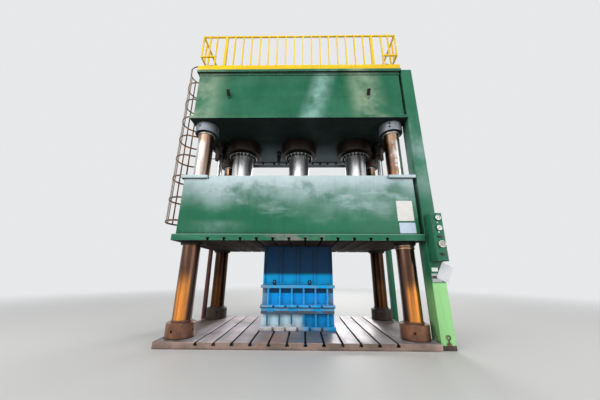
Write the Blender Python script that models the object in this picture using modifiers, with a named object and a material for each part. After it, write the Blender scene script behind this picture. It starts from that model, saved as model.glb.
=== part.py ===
"""Four-column hydraulic press with its die set, crown deck, caged ladder and control post.

Metres, +Z up. X runs along the press, -Y is the front, and Z = 0 is the underside of the
lower beam's feet, which stand in the foundation pit. The slide is drawn closed on the die set.
"""
import math

import bmesh
import bpy
from mathutils import Matrix, Vector

# Gaps and cuts
SEAT_GAP = 0.0003
RUNNING_GAP = 0.0005
OVERRUN = 0.05
MERGE_DISTANCE = 0.00001
SHARP_ANGLE = math.radians(35)

# Plan of the press
BEAM_DEPTH = 2.55
COLUMN_EDGE_X = 0.275
COLUMN_EDGE_Y = 0.35
COLUMN_RADIUS = 0.165
CYLINDER_PITCH = 1.46
RETURN_GAP = 0.04
RETURN_EDGE_X = 0.28

# Heights, from the pit floor up
FOOT_HEIGHT = 0.40
BASE_HEIGHT = 1.00
BED_THICKNESS = 0.20
CLOSED_DAYLIGHT = 1.657
SLIDE_PLATE_THICKNESS = 0.12
SLIDE_HEIGHT = 1.183
STROKE = 0.85
CROWN_CLEARANCE = 0.48
CROWN_HEIGHT = 1.32
FLOOR_DROP = 0.108

# Tee slots in the bed and the slide
SLOT_PITCH = 0.30
SLOT_NECK = 0.036
SLOT_NECK_DEPTH = 0.025
SLOT_TEE = 0.060
SLOT_TEE_DEPTH = 0.030
SLOT_EDGE = 0.06

# Welded beams
FLANGE_THICKNESS = 0.065
FLANGE_LIP = 0.055
LEDGE_DROP = 0.045
LEDGE_HEIGHT = 0.030
LEDGE_LIP = 0.018
PEG_X = 1.56
PEG_RISE = 0.56
PEG_RADIUS = 0.035
PEG_LENGTH = 0.19
PEG_TILT = math.radians(45)
PEG_SIDES = 12
FOOT_WIDTH = 0.50
FOOT_SPACING = 1.30
RIB_THICKNESS = 0.04
RIB_PITCH = 0.72

# Columns and ring nuts
COLUMN_SIDES = 16
COLUMN_CHAMFER = 0.015
COLUMN_TAIL = 0.05
NUT_WALL = 0.083
END_NUT_WALL = 0.060
NUT_CHAMFER = 0.012
BED_NUT_HEIGHT = 0.245
BED_NUT_COLLAR = 0.035
BED_NUT_COLLAR_WALL = 0.012
CROWN_NUT_HEIGHT = 0.22
TOP_NUT_HEIGHT = 0.28
TOMMY_RADIUS = 0.019
TOMMY_DEPTH = 0.035
TOMMY_PAIR = 0.07
TOMMY_COUNT = 4
TOMMY_PHASE_SHARE = 0.25
TOMMY_SIDES = 6

# Slide
SLIDE_INSET = 0.050
SLIDE_SIDE_CLEARANCE = 0.025
CORNER_PLATE_THICKNESS = 0.064
CORNER_PLATE_LENGTH = 0.525
CORNER_PLATE_DEPTH = 0.66
CORNER_GROOVE = 0.020
BUSH_WALL = 0.030
BUSH_FLANGE_WALL = 0.040
BUSH_FLANGE_HEIGHT = 0.05
BUSH_LIP = 0.012

# Cylinders and rams
RAM_RADIUS = 0.255
RAM_ENGAGEMENT = 0.35
RAM_FLANGE_RADIUS = 0.33
RAM_FLANGE_HEIGHT = 0.09
BARREL_RADIUS = 0.45
BARREL_BODY_RADIUS = 0.40
BARREL_DROP = 0.285
BARREL_NUT_RADIUS = 0.46
BARREL_NUT_HEIGHT = 0.14
BARREL_CAP_RADIUS = 0.36
BARREL_CAP_HEIGHT = 0.12
CYLINDER_SIDES = 20
BARREL_CHAMFER = 0.015
BORE_END_GAP = 0.06
GLAND_RADIUS = 0.345
GLAND_THICKNESS = 0.050
GLAND_BOLT_CIRCLE = 0.305
GLAND_BOLT_RADIUS = 0.026
GLAND_BOLT_HEIGHT = 0.045
GLAND_BOLT_COUNT = 10
GLAND_BOLT_SIDES = 6
RETURN_ROD_RADIUS = 0.055
RETURN_BARREL_RADIUS = 0.13
RETURN_BODY_RADIUS = 0.10
RETURN_DROP = 0.385
RETURN_CAP_RADIUS = 0.13
RETURN_CAP_HEIGHT = 0.10
RETURN_ENGAGEMENT = 0.25
RETURN_FOOT_RADIUS = 0.13
RETURN_FOOT_HEIGHT = 0.08
RETURN_SIDES = 12

# Guardrail on the crown
TOE_HEIGHT = 0.12
TOE_THICKNESS = 0.012
TOE_INSET = 0.005
RAIL_RISE = 0.93
RAIL_BAR = 0.035
BALUSTER_BAR = 0.030
POST_BAR = 0.060
BALUSTER_PITCH = 0.2065
POST_X = 1.755
RAIL_REAR_PITCH = 0.62
NOTCH_RISE = 0.28
NOTCH_LENGTH = 0.37
LANDING_HALF = 0.36

# Caged ladder
LADDER_X = 0.30
LADDER_REAR = 0.78
LADDER_HALF_WIDTH = 0.22
STILE_DEPTH = 0.060
STILE_THICKNESS = 0.014
STILE_ABOVE_DECK = 1.62
RUNG_PITCH = 0.30
RUNG_RADIUS = 0.012
RUNG_SIDES = 6
HOOP_RADIUS = 0.41
HOOP_REACH = 0.42
HOOP_STRIP = 0.045
HOOP_THICKNESS = 0.010
HOOP_START = 2.31
RUNGS_PER_HOOP = 2
HOOP_SEGMENTS = 6
CAGE_STRIP_ANGLES = (-50, -25, 0, 25, 50)
CAGE_STRIP_WIDTH = 0.040
LADDER_ARM = 0.023

# Control post, box and instruments
POST_WIDTH = 0.25
POST_DEPTH = 0.30
POST_FRONT = 0.04
BOX_WIDTH = 0.19
BOX_OFFSET = 0.03
BOX_HEIGHT = 0.84
BOX_RISE = 1.29
BOX_DEPTH = 0.25
BOX_DOOR_MARGIN = 0.012
BOX_DOOR_THICKNESS = 0.012
GAUGE_DEPTH = 0.042
GAUGE_BEZEL = 0.007
GAUGE_RECESS = 0.014
GAUGE_SIDES = 16
SMALL_GAUGE_RADIUS = 0.045
LARGE_GAUGE_RADIUS = 0.058
UPPER_GAUGE_DROP = 0.095
MIDDLE_GAUGE_DROP = 0.275
LOWER_GAUGE_DROP = 0.555
NEEDLE_THICKNESS = 0.0025
NEEDLE_WIDTH = 0.0045
NEEDLE_HUB_RADIUS = 0.006
NEEDLE_HUB_SIDES = 8
NEEDLE_TAIL_SHARE = 0.3
NEEDLE_REST_ANGLE = math.radians(225)
SELECTOR_DROP = 0.425
LEVER_DROP = 0.72
KNOB_RADIUS = 0.021
KNOB_DEPTH = 0.022
KNOB_GRIP_LENGTH = 0.082
KNOB_GRIP_HEIGHT = 0.018
KNOB_GRIP_DEPTH = 0.020
KNOB_SIDES = 12
BOARD_WIDTH = 0.21
BOARD_HEIGHT = 0.297
BOARD_THICKNESS = 0.006
BOARD_TILT = math.radians(27)
BOARD_GAP = 0.004

# Services at the sides
REAR_POST_SIZE = 0.13
REAR_POST_GAP = 0.06
REAR_POST_INSET = 0.07
REAR_POST_ARM = 0.06
RISER_RADIUS = 0.058
RISER_X = 0.08
RISER_REAR = 0.25
RISER_BEND = 0.10
RISER_TOP = 0.62
RISER_BOTTOM = 0.45
RISER_BEND_POINTS = 5
RISER_FLANGE_RADIUS = 0.095
RISER_FLANGE_THICKNESS = 0.02

# Power unit on the crown
TANK_WIDTH = 2.80
TANK_DEPTH = 0.60
TANK_HEIGHT = 0.72
TANK_REAR_GAP = 0.12
TANK_FOOT_HEIGHT = 0.06
TANK_LID = 0.025
TANK_FILLER_RADIUS = 0.07
TANK_FILLER_HEIGHT = 0.08
PUMP_X = 1.00
PUMP_GAP = 0.06
MOTOR_RADIUS = 0.17
MOTOR_LENGTH = 0.46
PUMP_RADIUS = 0.11
PUMP_LENGTH = 0.24
PUMP_BASE_HEIGHT = 0.05
PUMP_AXIS_RISE = 0.24
VALVE_WIDTH = 0.50
VALVE_DEPTH = 0.26
VALVE_HEIGHT = 0.30
VALVE_CARTRIDGE_RADIUS = 0.045
VALVE_CARTRIDGE_HEIGHT = 0.10
VALVE_CARTRIDGES = 3
MANIFOLD_RADIUS = 0.045
BRANCH_RADIUS = 0.036
PIPE_SIDES = 12

# Die set
DIE_SHIFT = 0.085
DIE_WIDTH = 1.52
DIE_DEPTH = 1.10
LOWER_DIE_HEIGHT = 0.41
DIE_FLANGE = 0.075
DIE_TOP_PLATE = 0.105
DIE_BODY_INSET = 0.022
DIE_RIB_PITCH = 0.243
DIE_RIB_COUNT = 6
DIE_RIB = 0.032
DIE_POCKET_DEPTH = 0.11
UPPER_DIE_HEIGHT = 0.437
UPPER_DIE_FLANGE = 0.058
NOTCH_WIDTH = 0.045
NOTCH_DEPTH = 0.07
SPACER_INSET = 0.005
SPACER_DEPTH = 0.60
SPACER_FLANGE = 0.02
SPACER_RIB_PITCH = 0.372
SPACER_RIB_COUNT = 3
SPACER_RIB = 0.03
SPACER_PANEL_DEPTH = 0.05

# Places worked out from the sizes above
RETURN_X = CYLINDER_PITCH + BARREL_RADIUS + RETURN_GAP + RETURN_BARREL_RADIUS
HALF_WIDTH = RETURN_X + RETURN_EDGE_X
HALF_DEPTH = BEAM_DEPTH / 2
COLUMN_X = HALF_WIDTH - COLUMN_EDGE_X
COLUMN_Y = HALF_DEPTH - COLUMN_EDGE_Y
COLUMN_PLACES = {
    "front_left": (-COLUMN_X, -COLUMN_Y),
    "front_right": (COLUMN_X, -COLUMN_Y),
    "rear_left": (-COLUMN_X, COLUMN_Y),
    "rear_right": (COLUMN_X, COLUMN_Y),
}
CYLINDER_PLACES = {"left": -CYLINDER_PITCH, "centre": 0, "right": CYLINDER_PITCH}
RETURN_PLACES = {"left": -RETURN_X, "right": RETURN_X}
BASE_TOP = FOOT_HEIGHT + BASE_HEIGHT
BED_TOP = BASE_TOP + BED_THICKNESS
FLOOR_LINE = BED_TOP - FLOOR_DROP
SLIDE_BOTTOM = BED_TOP + CLOSED_DAYLIGHT
SLIDE_BODY_BOTTOM = SLIDE_BOTTOM + SLIDE_PLATE_THICKNESS
SLIDE_TOP = SLIDE_BODY_BOTTOM + SLIDE_HEIGHT
CROWN_BOTTOM = SLIDE_TOP + STROKE + CROWN_CLEARANCE
CROWN_TOP = CROWN_BOTTOM + CROWN_HEIGHT
NUT_RADIUS = COLUMN_RADIUS + NUT_WALL
END_NUT_RADIUS = COLUMN_RADIUS + END_NUT_WALL
COLUMN_BORE = COLUMN_RADIUS + SEAT_GAP
SLIDE_HALF_WIDTH = HALF_WIDTH - SLIDE_SIDE_CLEARANCE
BUSH_RADIUS = COLUMN_RADIUS + BUSH_WALL
SLOTS_PER_SIDE = math.floor((COLUMN_X - NUT_RADIUS - SLOT_EDGE) / SLOT_PITCH + 0.5)
SLOT_PLACES = [(n + 0.5) * SLOT_PITCH for n in range(-SLOTS_PER_SIDE, SLOTS_PER_SIDE)]
POST_FACE_X = HALF_WIDTH + SEAT_GAP
POST_FACE_Y = -HALF_DEPTH + POST_FRONT
LADDER_Y = HALF_DEPTH - LADDER_REAR
RISER_Y = HALF_DEPTH - RISER_REAR
MANIFOLD_Y = -(BARREL_NUT_RADIUS + 2 * MANIFOLD_RADIUS)
PUMP_Y = MANIFOLD_Y - MANIFOLD_RADIUS - PUMP_GAP - MOTOR_RADIUS

for old in list(bpy.data.objects):
    bpy.data.objects.remove(old, do_unlink=True)
PARTS = bpy.data.collections.new("four_column_press")
CUTTERS = bpy.data.collections.new("cutters")
bpy.context.scene.collection.children.link(PARTS)
bpy.context.scene.collection.children.link(CUTTERS)


def finish(name, colour, roughness, metallic):
    """A plain painted, oiled or bare finish for one kind of piece."""
    material = bpy.data.materials.new(name)
    material.use_nodes = True
    shader = material.node_tree.nodes["Principled BSDF"]
    shader.inputs["Base Color"].default_value = (*colour, 1)
    shader.inputs["Roughness"].default_value = roughness
    shader.inputs["Metallic"].default_value = metallic
    return material


GREEN_PAINT = finish("green_paint", (0.03, 0.22, 0.11), 0.35, 0)
YELLOW_PAINT = finish("yellow_paint", (0.83, 0.58, 0.02), 0.45, 0)
BLUE_PAINT = finish("blue_paint", (0.0, 0.30, 0.70), 0.40, 0)
COLUMN_STEEL = finish("column_steel", (0.48, 0.36, 0.27), 0.25, 1)
RAM_CHROME = finish("ram_chrome", (0.85, 0.86, 0.87), 0.10, 1)
BARREL_STEEL = finish("barrel_steel", (0.05, 0.035, 0.025), 0.45, 1)
BED_STEEL = finish("bed_steel", (0.36, 0.33, 0.32), 0.45, 1)
NUT_BROWN = finish("nut_brown", (0.20, 0.09, 0.045), 0.50, 0)
NUT_GREY = finish("nut_grey", (0.30, 0.31, 0.33), 0.45, 1)
BUSH_BLACK = finish("bush_black", (0.02, 0.02, 0.02), 0.60, 0)
LADDER_RUST = finish("ladder_rust", (0.27, 0.15, 0.07), 0.70, 0)
RISER_RED = finish("riser_red", (0.12, 0.03, 0.03), 0.50, 0)
CASE_CHROME = finish("case_chrome", (0.75, 0.76, 0.77), 0.20, 1)
HANDLE_BLACK = finish("handle_black", (0.015, 0.015, 0.015), 0.45, 0)
BOARD_WHITE = finish("board_white", (0.78, 0.78, 0.80), 0.60, 0)


def place(name, mesh, material, location=(0, 0, 0), parent=None):
    """Puts a mesh into the press as one named piece."""
    piece = bpy.data.objects.new(name, mesh)
    PARTS.objects.link(piece)
    piece.location = location
    if parent is not None:
        piece.parent = parent
        piece.location = Vector(location) - parent.location
    if not mesh.materials:
        mesh.materials.append(material)
    return piece


def hidden(name, mesh, location=(0, 0, 0)):
    """A guide body that joins or cuts a piece and isn't part of the press."""
    guide = bpy.data.objects.new(name, mesh)
    CUTTERS.objects.link(guide)
    guide.location = location
    guide.hide_render = True
    guide.display_type = "WIRE"
    return guide


def closed_mesh(name, fill):
    """A mesh that one or more fill functions put closed bodies into."""
    bm = bmesh.new()
    for step in fill:
        step(bm)
    bmesh.ops.recalc_face_normals(bm, faces=bm.faces)
    mesh = bpy.data.meshes.new(name)
    bm.to_mesh(mesh)
    bm.free()
    return mesh


def box(low, high):
    """A box between two corners."""
    low, high = Vector(low), Vector(high)
    frame = Matrix.Translation((low + high) / 2) @ Matrix.Diagonal((*(high - low), 1))
    return lambda bm: bmesh.ops.create_cube(bm, size=1, matrix=frame)


def turned_box(centre, size, turn):
    """A box about its centre, turned by a rotation matrix."""
    frame = Matrix.Translation(centre) @ turn @ Matrix.Diagonal((*size, 1))
    return lambda bm: bmesh.ops.create_cube(bm, size=1, matrix=frame)


def round_bar(frame, radius, length, sides):
    """A cylinder about a frame's origin, along the frame's Z."""
    return lambda bm: bmesh.ops.create_cone(
        bm, cap_ends=True, segments=sides, radius1=radius, radius2=radius, depth=length, matrix=frame
    )


def drum(centre, radius, length, axis="Z", sides=COLUMN_SIDES):
    """A cylinder about its centre along one axis."""
    turns = {"X": Matrix.Rotation(math.pi / 2, 4, "Y"), "Y": Matrix.Rotation(-math.pi / 2, 4, "X")}
    frame = Matrix.Translation(centre) @ turns.get(axis, Matrix.Identity(4))
    return round_bar(frame, radius, length, sides)


def prism(outline, run):
    """A flat outline carried straight along a run."""

    def fill(bm):
        face = bm.faces.new([bm.verts.new(point) for point in outline])
        grown = bmesh.ops.extrude_face_region(bm, geom=[face])["geom"]
        moved = [part for part in grown if isinstance(part, bmesh.types.BMVert)]
        bmesh.ops.translate(bm, vec=run, verts=moved)

    return fill


def combine(piece, operation, guide):
    """One exact Boolean step on a piece."""
    step = piece.modifiers.new(operation.lower(), "BOOLEAN")
    step.operation = operation
    step.solver = "EXACT"
    step.object = guide
    return piece


def bake(piece):
    """Turns a piece's modifiers into plain mesh, smooth up to the sharp angle."""
    material = piece.data.materials[0] if piece.data.materials else None
    source = piece.evaluated_get(bpy.context.evaluated_depsgraph_get())
    mesh = bpy.data.meshes.new_from_object(source)
    mesh.name = piece.name
    piece.modifiers.clear()
    piece.data = mesh
    if material and not mesh.materials:
        mesh.materials.append(material)
    mesh.shade_smooth()
    mesh.set_sharp_from_angle(angle=SHARP_ANGLE)
    return piece


def turned(name, outline, sides, material, location=(0, 0, 0), parent=None):
    """A turned piece: (radius, height) points from the top, down the outside and up the bore."""
    points = [(radius, 0, height) for radius, height in outline]
    edges = [(n, n + 1) for n in range(len(points) - 1)]
    if outline[0][0] > 0:
        edges.append((len(points) - 1, 0))
    mesh = bpy.data.meshes.new(name)
    mesh.from_pydata(points, edges, [])
    piece = place(name, mesh, material, location, parent)
    turn = piece.modifiers.new("turn", "SCREW")
    turn.steps = sides
    turn.render_steps = sides
    turn.use_merge_vertices = True
    turn.merge_threshold = MERGE_DISTANCE
    return piece


def repeat(master, names_and_places, parent=None):
    """More pieces that share one mesh; the master takes the first name and place."""
    material = master.data.materials[0]
    first = True
    for name, location in names_and_places.items():
        if first:
            master.name = name
            master.data.name = name
            master.location = Vector(location) - (parent.location if parent else Vector())
            first = False
        else:
            place(name, master.data, material, location, parent)


def column_drums(radius, low, high, sides=COLUMN_SIDES):
    """One drum at each column, between two heights."""
    middle = (low + high) / 2
    return [drum((x, y, middle), radius, high - low, sides=sides) for x, y in COLUMN_PLACES.values()]


def slot_prisms(face, inward):
    """Tee slots that run front to rear in a level face; inward is -1 or 1 along Z."""
    start = -HALF_DEPTH - OVERRUN
    mouth = face - inward * OVERRUN
    waist = face + inward * SLOT_NECK_DEPTH
    floor = waist + inward * SLOT_TEE_DEPTH
    fills = []
    for x in SLOT_PLACES:
        neck, tee = SLOT_NECK / 2, SLOT_TEE / 2
        outline = [
            (x - neck, start, mouth), (x - neck, start, waist), (x - tee, start, waist),
            (x - tee, start, floor), (x + tee, start, floor), (x + tee, start, waist),
            (x + neck, start, waist), (x + neck, start, mouth),
        ]
        fills.append(prism(outline, (0, BEAM_DEPTH + 2 * OVERRUN, 0)))
    return fills


def beam_body(low, high):
    """The plated box of a welded beam, between its two flanges."""
    inner_x, inner_y = HALF_WIDTH - FLANGE_LIP, HALF_DEPTH - FLANGE_LIP
    return box((-inner_x, -inner_y, low), (inner_x, inner_y, high))


def plate(low, high, half_width=HALF_WIDTH, half_depth=HALF_DEPTH):
    """A level plate of the beam's full plan."""
    return box((-half_width, -half_depth, low), (half_width, half_depth, high))


def make_lower_beam():
    """The welded beam in the pit: box, flanges, stiffening ribs, three feet and column bores."""
    low, high = FOOT_HEIGHT, BASE_TOP - SEAT_GAP
    beam = place("lower_beam", closed_mesh("lower_beam", [beam_body(low, high)]), GREEN_PAINT)
    flanges = [plate(low, low + FLANGE_THICKNESS), plate(high - FLANGE_THICKNESS, high)]
    combine(beam, "UNION", hidden("beam_flanges", closed_mesh("beam_flanges", flanges)))
    rib_low, rib_high = low + FLANGE_THICKNESS / 2, high - FLANGE_THICKNESS / 2
    per_side = math.floor((COLUMN_X - RIB_THICKNESS) / RIB_PITCH)
    ribs = []
    for n in range(-per_side, per_side + 1):
        x = n * RIB_PITCH
        near, far = x - RIB_THICKNESS / 2, x + RIB_THICKNESS / 2
        reach = HALF_DEPTH - LEDGE_LIP
        ribs.append(box((near, -reach, rib_low), (far, reach, rib_high)))
    combine(beam, "UNION", hidden("beam_ribs", closed_mesh("beam_ribs", ribs)))
    feet = []
    for x in (-FOOT_SPACING, 0, FOOT_SPACING):
        corner = FOOT_WIDTH / 2
        reach = HALF_DEPTH - FLANGE_LIP
        feet.append(box((x - corner, -reach, 0), (x + corner, reach, low + FLANGE_THICKNESS / 2)))
    combine(beam, "UNION", hidden("beam_feet", closed_mesh("beam_feet", feet)))
    bores = column_drums(COLUMN_BORE, low - OVERRUN, high + OVERRUN)
    combine(beam, "DIFFERENCE", hidden("beam_bores", closed_mesh("beam_bores", bores)))


def make_bed_plate():
    """The thick tee-slotted plate that the lower die is clamped to."""
    bed = place("bed_plate", closed_mesh("bed_plate", [plate(BASE_TOP, BED_TOP)]), BED_STEEL)
    slots = closed_mesh("bed_slots", slot_prisms(BED_TOP, -1))
    combine(bed, "DIFFERENCE", hidden("bed_slots", slots))
    bores = column_drums(COLUMN_BORE, BASE_TOP - OVERRUN, BED_TOP + OVERRUN)
    combine(bed, "DIFFERENCE", hidden("bed_bores", closed_mesh("bed_bores", bores)))


def make_columns():
    """Four forged columns, each with its foot nut screwed up under the lower beam."""
    low = (FOOT_HEIGHT - TOP_NUT_HEIGHT - SEAT_GAP) / 2
    nut_low = FOOT_HEIGHT - SEAT_GAP - TOP_NUT_HEIGHT
    nut_high = FOOT_HEIGHT - SEAT_GAP
    high = CROWN_TOP + SEAT_GAP + TOP_NUT_HEIGHT + COLUMN_TAIL
    outline = [
        (0, high), (COLUMN_RADIUS - COLUMN_CHAMFER, high), (COLUMN_RADIUS, high - COLUMN_CHAMFER),
        (COLUMN_RADIUS, nut_high), (END_NUT_RADIUS, nut_high), (END_NUT_RADIUS, nut_low),
        (COLUMN_RADIUS, nut_low), (COLUMN_RADIUS, low), (0, low),
    ]
    column = bake(turned("column", outline, COLUMN_SIDES, COLUMN_STEEL))
    repeat(column, {f"column_{key}": (x, y, 0) for key, (x, y) in COLUMN_PLACES.items()})


def ring_nut(name, radius, height, rows, material, collar=0):
    """A round nut with tommy-bar holes round it, in one row or two."""
    bore = COLUMN_RADIUS + SEAT_GAP
    rim = height - collar
    outline = [
        (radius - NUT_CHAMFER, rim), (radius, rim - NUT_CHAMFER), (radius, 0),
        (bore, 0), (bore, height),
    ]
    if collar:
        step = COLUMN_RADIUS + BED_NUT_COLLAR_WALL
        outline += [(step, height), (step, rim)]
    nut = turned(name, outline, COLUMN_SIDES, material)
    holes = []
    reach = TOMMY_DEPTH + OVERRUN
    middle = radius - TOMMY_DEPTH + reach / 2
    for n in range(TOMMY_COUNT):
        turn = Matrix.Rotation(2 * math.pi * (n + TOMMY_PHASE_SHARE) / TOMMY_COUNT, 4, "Z")
        for row in range(rows):
            z = rim / 2 + (row - (rows - 1) / 2) * TOMMY_PAIR
            frame = turn @ Matrix.Translation((middle, 0, z)) @ Matrix.Rotation(math.pi / 2, 4, "Y")
            holes.append(round_bar(frame, TOMMY_RADIUS, reach, TOMMY_SIDES))
    combine(nut, "DIFFERENCE", hidden(name + "_holes", closed_mesh(name + "_holes", holes)))
    return bake(nut)


def make_nuts():
    """Ring nuts on the bed, under the crown and on top of the crown, at each column."""
    bed_height = BED_NUT_HEIGHT + BED_NUT_COLLAR
    crown_low = CROWN_BOTTOM - SEAT_GAP - CROWN_NUT_HEIGHT
    kinds = {
        "bed_nut": (BED_TOP + SEAT_GAP, NUT_RADIUS, bed_height, 1, NUT_BROWN, BED_NUT_COLLAR),
        "crown_nut": (crown_low, NUT_RADIUS, CROWN_NUT_HEIGHT, 2, NUT_GREY, 0),
        "top_nut": (CROWN_TOP + SEAT_GAP, END_NUT_RADIUS, TOP_NUT_HEIGHT, 0, NUT_GREY, 0),
    }
    for kind, (low, *sizes) in kinds.items():
        nut = ring_nut(kind, *sizes)
        repeat(nut, {f"{kind}_{key}": (x, y, low) for key, (x, y) in COLUMN_PLACES.items()})


def make_crown():
    """The welded upper beam: box, flanges, ledge, four lifting pegs and the bores through it."""
    low, high = CROWN_BOTTOM, CROWN_TOP
    crown = place("crown", closed_mesh("crown", [beam_body(low, high)]), GREEN_PAINT)
    ledge_high = high - FLANGE_THICKNESS - LEDGE_DROP
    ledge_x = HALF_WIDTH - FLANGE_LIP + LEDGE_LIP
    ledge_y = HALF_DEPTH - FLANGE_LIP + LEDGE_LIP
    plates = [
        plate(low, low + FLANGE_THICKNESS),
        plate(high - FLANGE_THICKNESS, high),
        plate(ledge_high - LEDGE_HEIGHT, ledge_high, ledge_x, ledge_y),
    ]
    combine(crown, "UNION", hidden("crown_plates", closed_mesh("crown_plates", plates)))
    root = 2 * PEG_RADIUS
    pegs = []
    for side in (-1, 1):
        for x in (-PEG_X, PEG_X):
            foot = Matrix.Translation((x, side * (HALF_DEPTH - FLANGE_LIP), low + PEG_RISE))
            lean = Matrix.Rotation(side * (PEG_TILT - math.pi / 2), 4, "X")
            middle = Matrix.Translation((0, 0, (PEG_LENGTH - root) / 2))
            pegs.append(round_bar(foot @ lean @ middle, PEG_RADIUS, PEG_LENGTH + root, PEG_SIDES))
    combine(crown, "UNION", hidden("crown_pegs", closed_mesh("crown_pegs", pegs)))
    bottom, top = low - OVERRUN, high + OVERRUN
    middle, length = (bottom + top) / 2, top - bottom
    bores = column_drums(COLUMN_BORE, bottom, top)
    for x in CYLINDER_PLACES.values():
        bores.append(drum((x, 0, middle), BARREL_BODY_RADIUS + SEAT_GAP, length, sides=CYLINDER_SIDES))
    for x in RETURN_PLACES.values():
        bores.append(drum((x, 0, middle), RETURN_BODY_RADIUS + SEAT_GAP, length, sides=RETURN_SIDES))
    combine(crown, "DIFFERENCE", hidden("crown_bores", closed_mesh("crown_bores", bores)))


def cylinder_outline(rod, engagement, drop, foot_radius, body_radius, cap_radius, cap_height, neck):
    """Half section of a hydraulic cylinder seated under the crown, bore open at the bottom."""
    high = CROWN_TOP + SEAT_GAP + cap_height
    bore = rod + RUNNING_GAP
    bore_top = CROWN_BOTTOM - drop + engagement + STROKE + BORE_END_GAP
    shoulder = CROWN_BOTTOM - SEAT_GAP
    foot = CROWN_BOTTOM - drop
    neck_radius, neck_height = neck
    return [
        (0, high + neck_height), (neck_radius, high + neck_height), (neck_radius, high),
        (cap_radius, high), (cap_radius, CROWN_TOP + SEAT_GAP), (body_radius, CROWN_TOP + SEAT_GAP),
        (body_radius, shoulder), (foot_radius, shoulder), (foot_radius, foot + BARREL_CHAMFER),
        (foot_radius - BARREL_CHAMFER, foot), (bore, foot), (bore, bore_top), (0, bore_top),
    ]


def make_cylinders():
    """Three main cylinders with glands, and two return cylinders beside them."""
    outline = cylinder_outline(
        RAM_RADIUS, RAM_ENGAGEMENT, BARREL_DROP, BARREL_RADIUS, BARREL_BODY_RADIUS,
        BARREL_NUT_RADIUS, BARREL_NUT_HEIGHT, (BARREL_CAP_RADIUS, BARREL_CAP_HEIGHT),
    )
    barrel = bake(turned("main_cylinder", outline, CYLINDER_SIDES, BARREL_STEEL))
    repeat(barrel, {f"main_cylinder_{key}": (x, 0, 0) for key, x in CYLINDER_PLACES.items()})
    outline = cylinder_outline(
        RETURN_ROD_RADIUS, RETURN_ENGAGEMENT, RETURN_DROP, RETURN_BARREL_RADIUS, RETURN_BODY_RADIUS,
        RETURN_CAP_RADIUS, RETURN_CAP_HEIGHT, (RETURN_ROD_RADIUS, RETURN_CAP_HEIGHT / 2),
    )
    barrel = bake(turned("return_cylinder", outline, RETURN_SIDES, BARREL_STEEL))
    repeat(barrel, {f"return_cylinder_{key}": (x, 0, 0) for key, x in RETURN_PLACES.items()})


def make_glands():
    """The bolted gland ring that closes each main cylinder round its ram."""
    bore = RAM_RADIUS + RUNNING_GAP
    outline = [
        (GLAND_RADIUS, GLAND_THICKNESS), (GLAND_RADIUS, 0), (bore, 0), (bore, GLAND_THICKNESS),
    ]
    gland = turned("gland_ring", outline, CYLINDER_SIDES, CASE_CHROME)
    heads = []
    for n in range(GLAND_BOLT_COUNT):
        turn = 2 * math.pi * n / GLAND_BOLT_COUNT
        head_low, head_high = -GLAND_BOLT_HEIGHT, GLAND_THICKNESS / 2
        x, y = GLAND_BOLT_CIRCLE * math.cos(turn), GLAND_BOLT_CIRCLE * math.sin(turn)
        middle = (x, y, (head_low + head_high) / 2)
        heads.append(drum(middle, GLAND_BOLT_RADIUS, head_high - head_low, sides=GLAND_BOLT_SIDES))
    combine(gland, "UNION", hidden("gland_heads", closed_mesh("gland_heads", heads)))
    low = CROWN_BOTTOM - BARREL_DROP - SEAT_GAP - GLAND_THICKNESS
    repeat(bake(gland), {f"gland_ring_{key}": (x, 0, low) for key, x in CYLINDER_PLACES.items()})


def ram_outline(radius, engagement, drop, foot_radius, foot_height):
    """Half section of a ram or rod that stands on the slide on its bolted foot."""
    low = SLIDE_TOP + SEAT_GAP
    high = CROWN_BOTTOM - drop + engagement
    return [
        (0, high - low), (radius, high - low), (radius, foot_height), (foot_radius, foot_height),
        (foot_radius, 0), (0, 0),
    ]


def make_rams(carrier):
    """Three pressing rams and two return rods, carried by the slide."""
    outline = ram_outline(RAM_RADIUS, RAM_ENGAGEMENT, BARREL_DROP, RAM_FLANGE_RADIUS, RAM_FLANGE_HEIGHT)
    ram = bake(turned("ram", outline, CYLINDER_SIDES, RAM_CHROME, parent=carrier))
    low = SLIDE_TOP + SEAT_GAP
    repeat(ram, {f"ram_{key}": (x, 0, low) for key, x in CYLINDER_PLACES.items()}, carrier)
    outline = ram_outline(
        RETURN_ROD_RADIUS, RETURN_ENGAGEMENT, RETURN_DROP, RETURN_FOOT_RADIUS, RETURN_FOOT_HEIGHT
    )
    rod = bake(turned("return_rod", outline, RETURN_SIDES, RAM_CHROME, parent=carrier))
    repeat(rod, {f"return_rod_{key}": (x, 0, low) for key, x in RETURN_PLACES.items()}, carrier)


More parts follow.
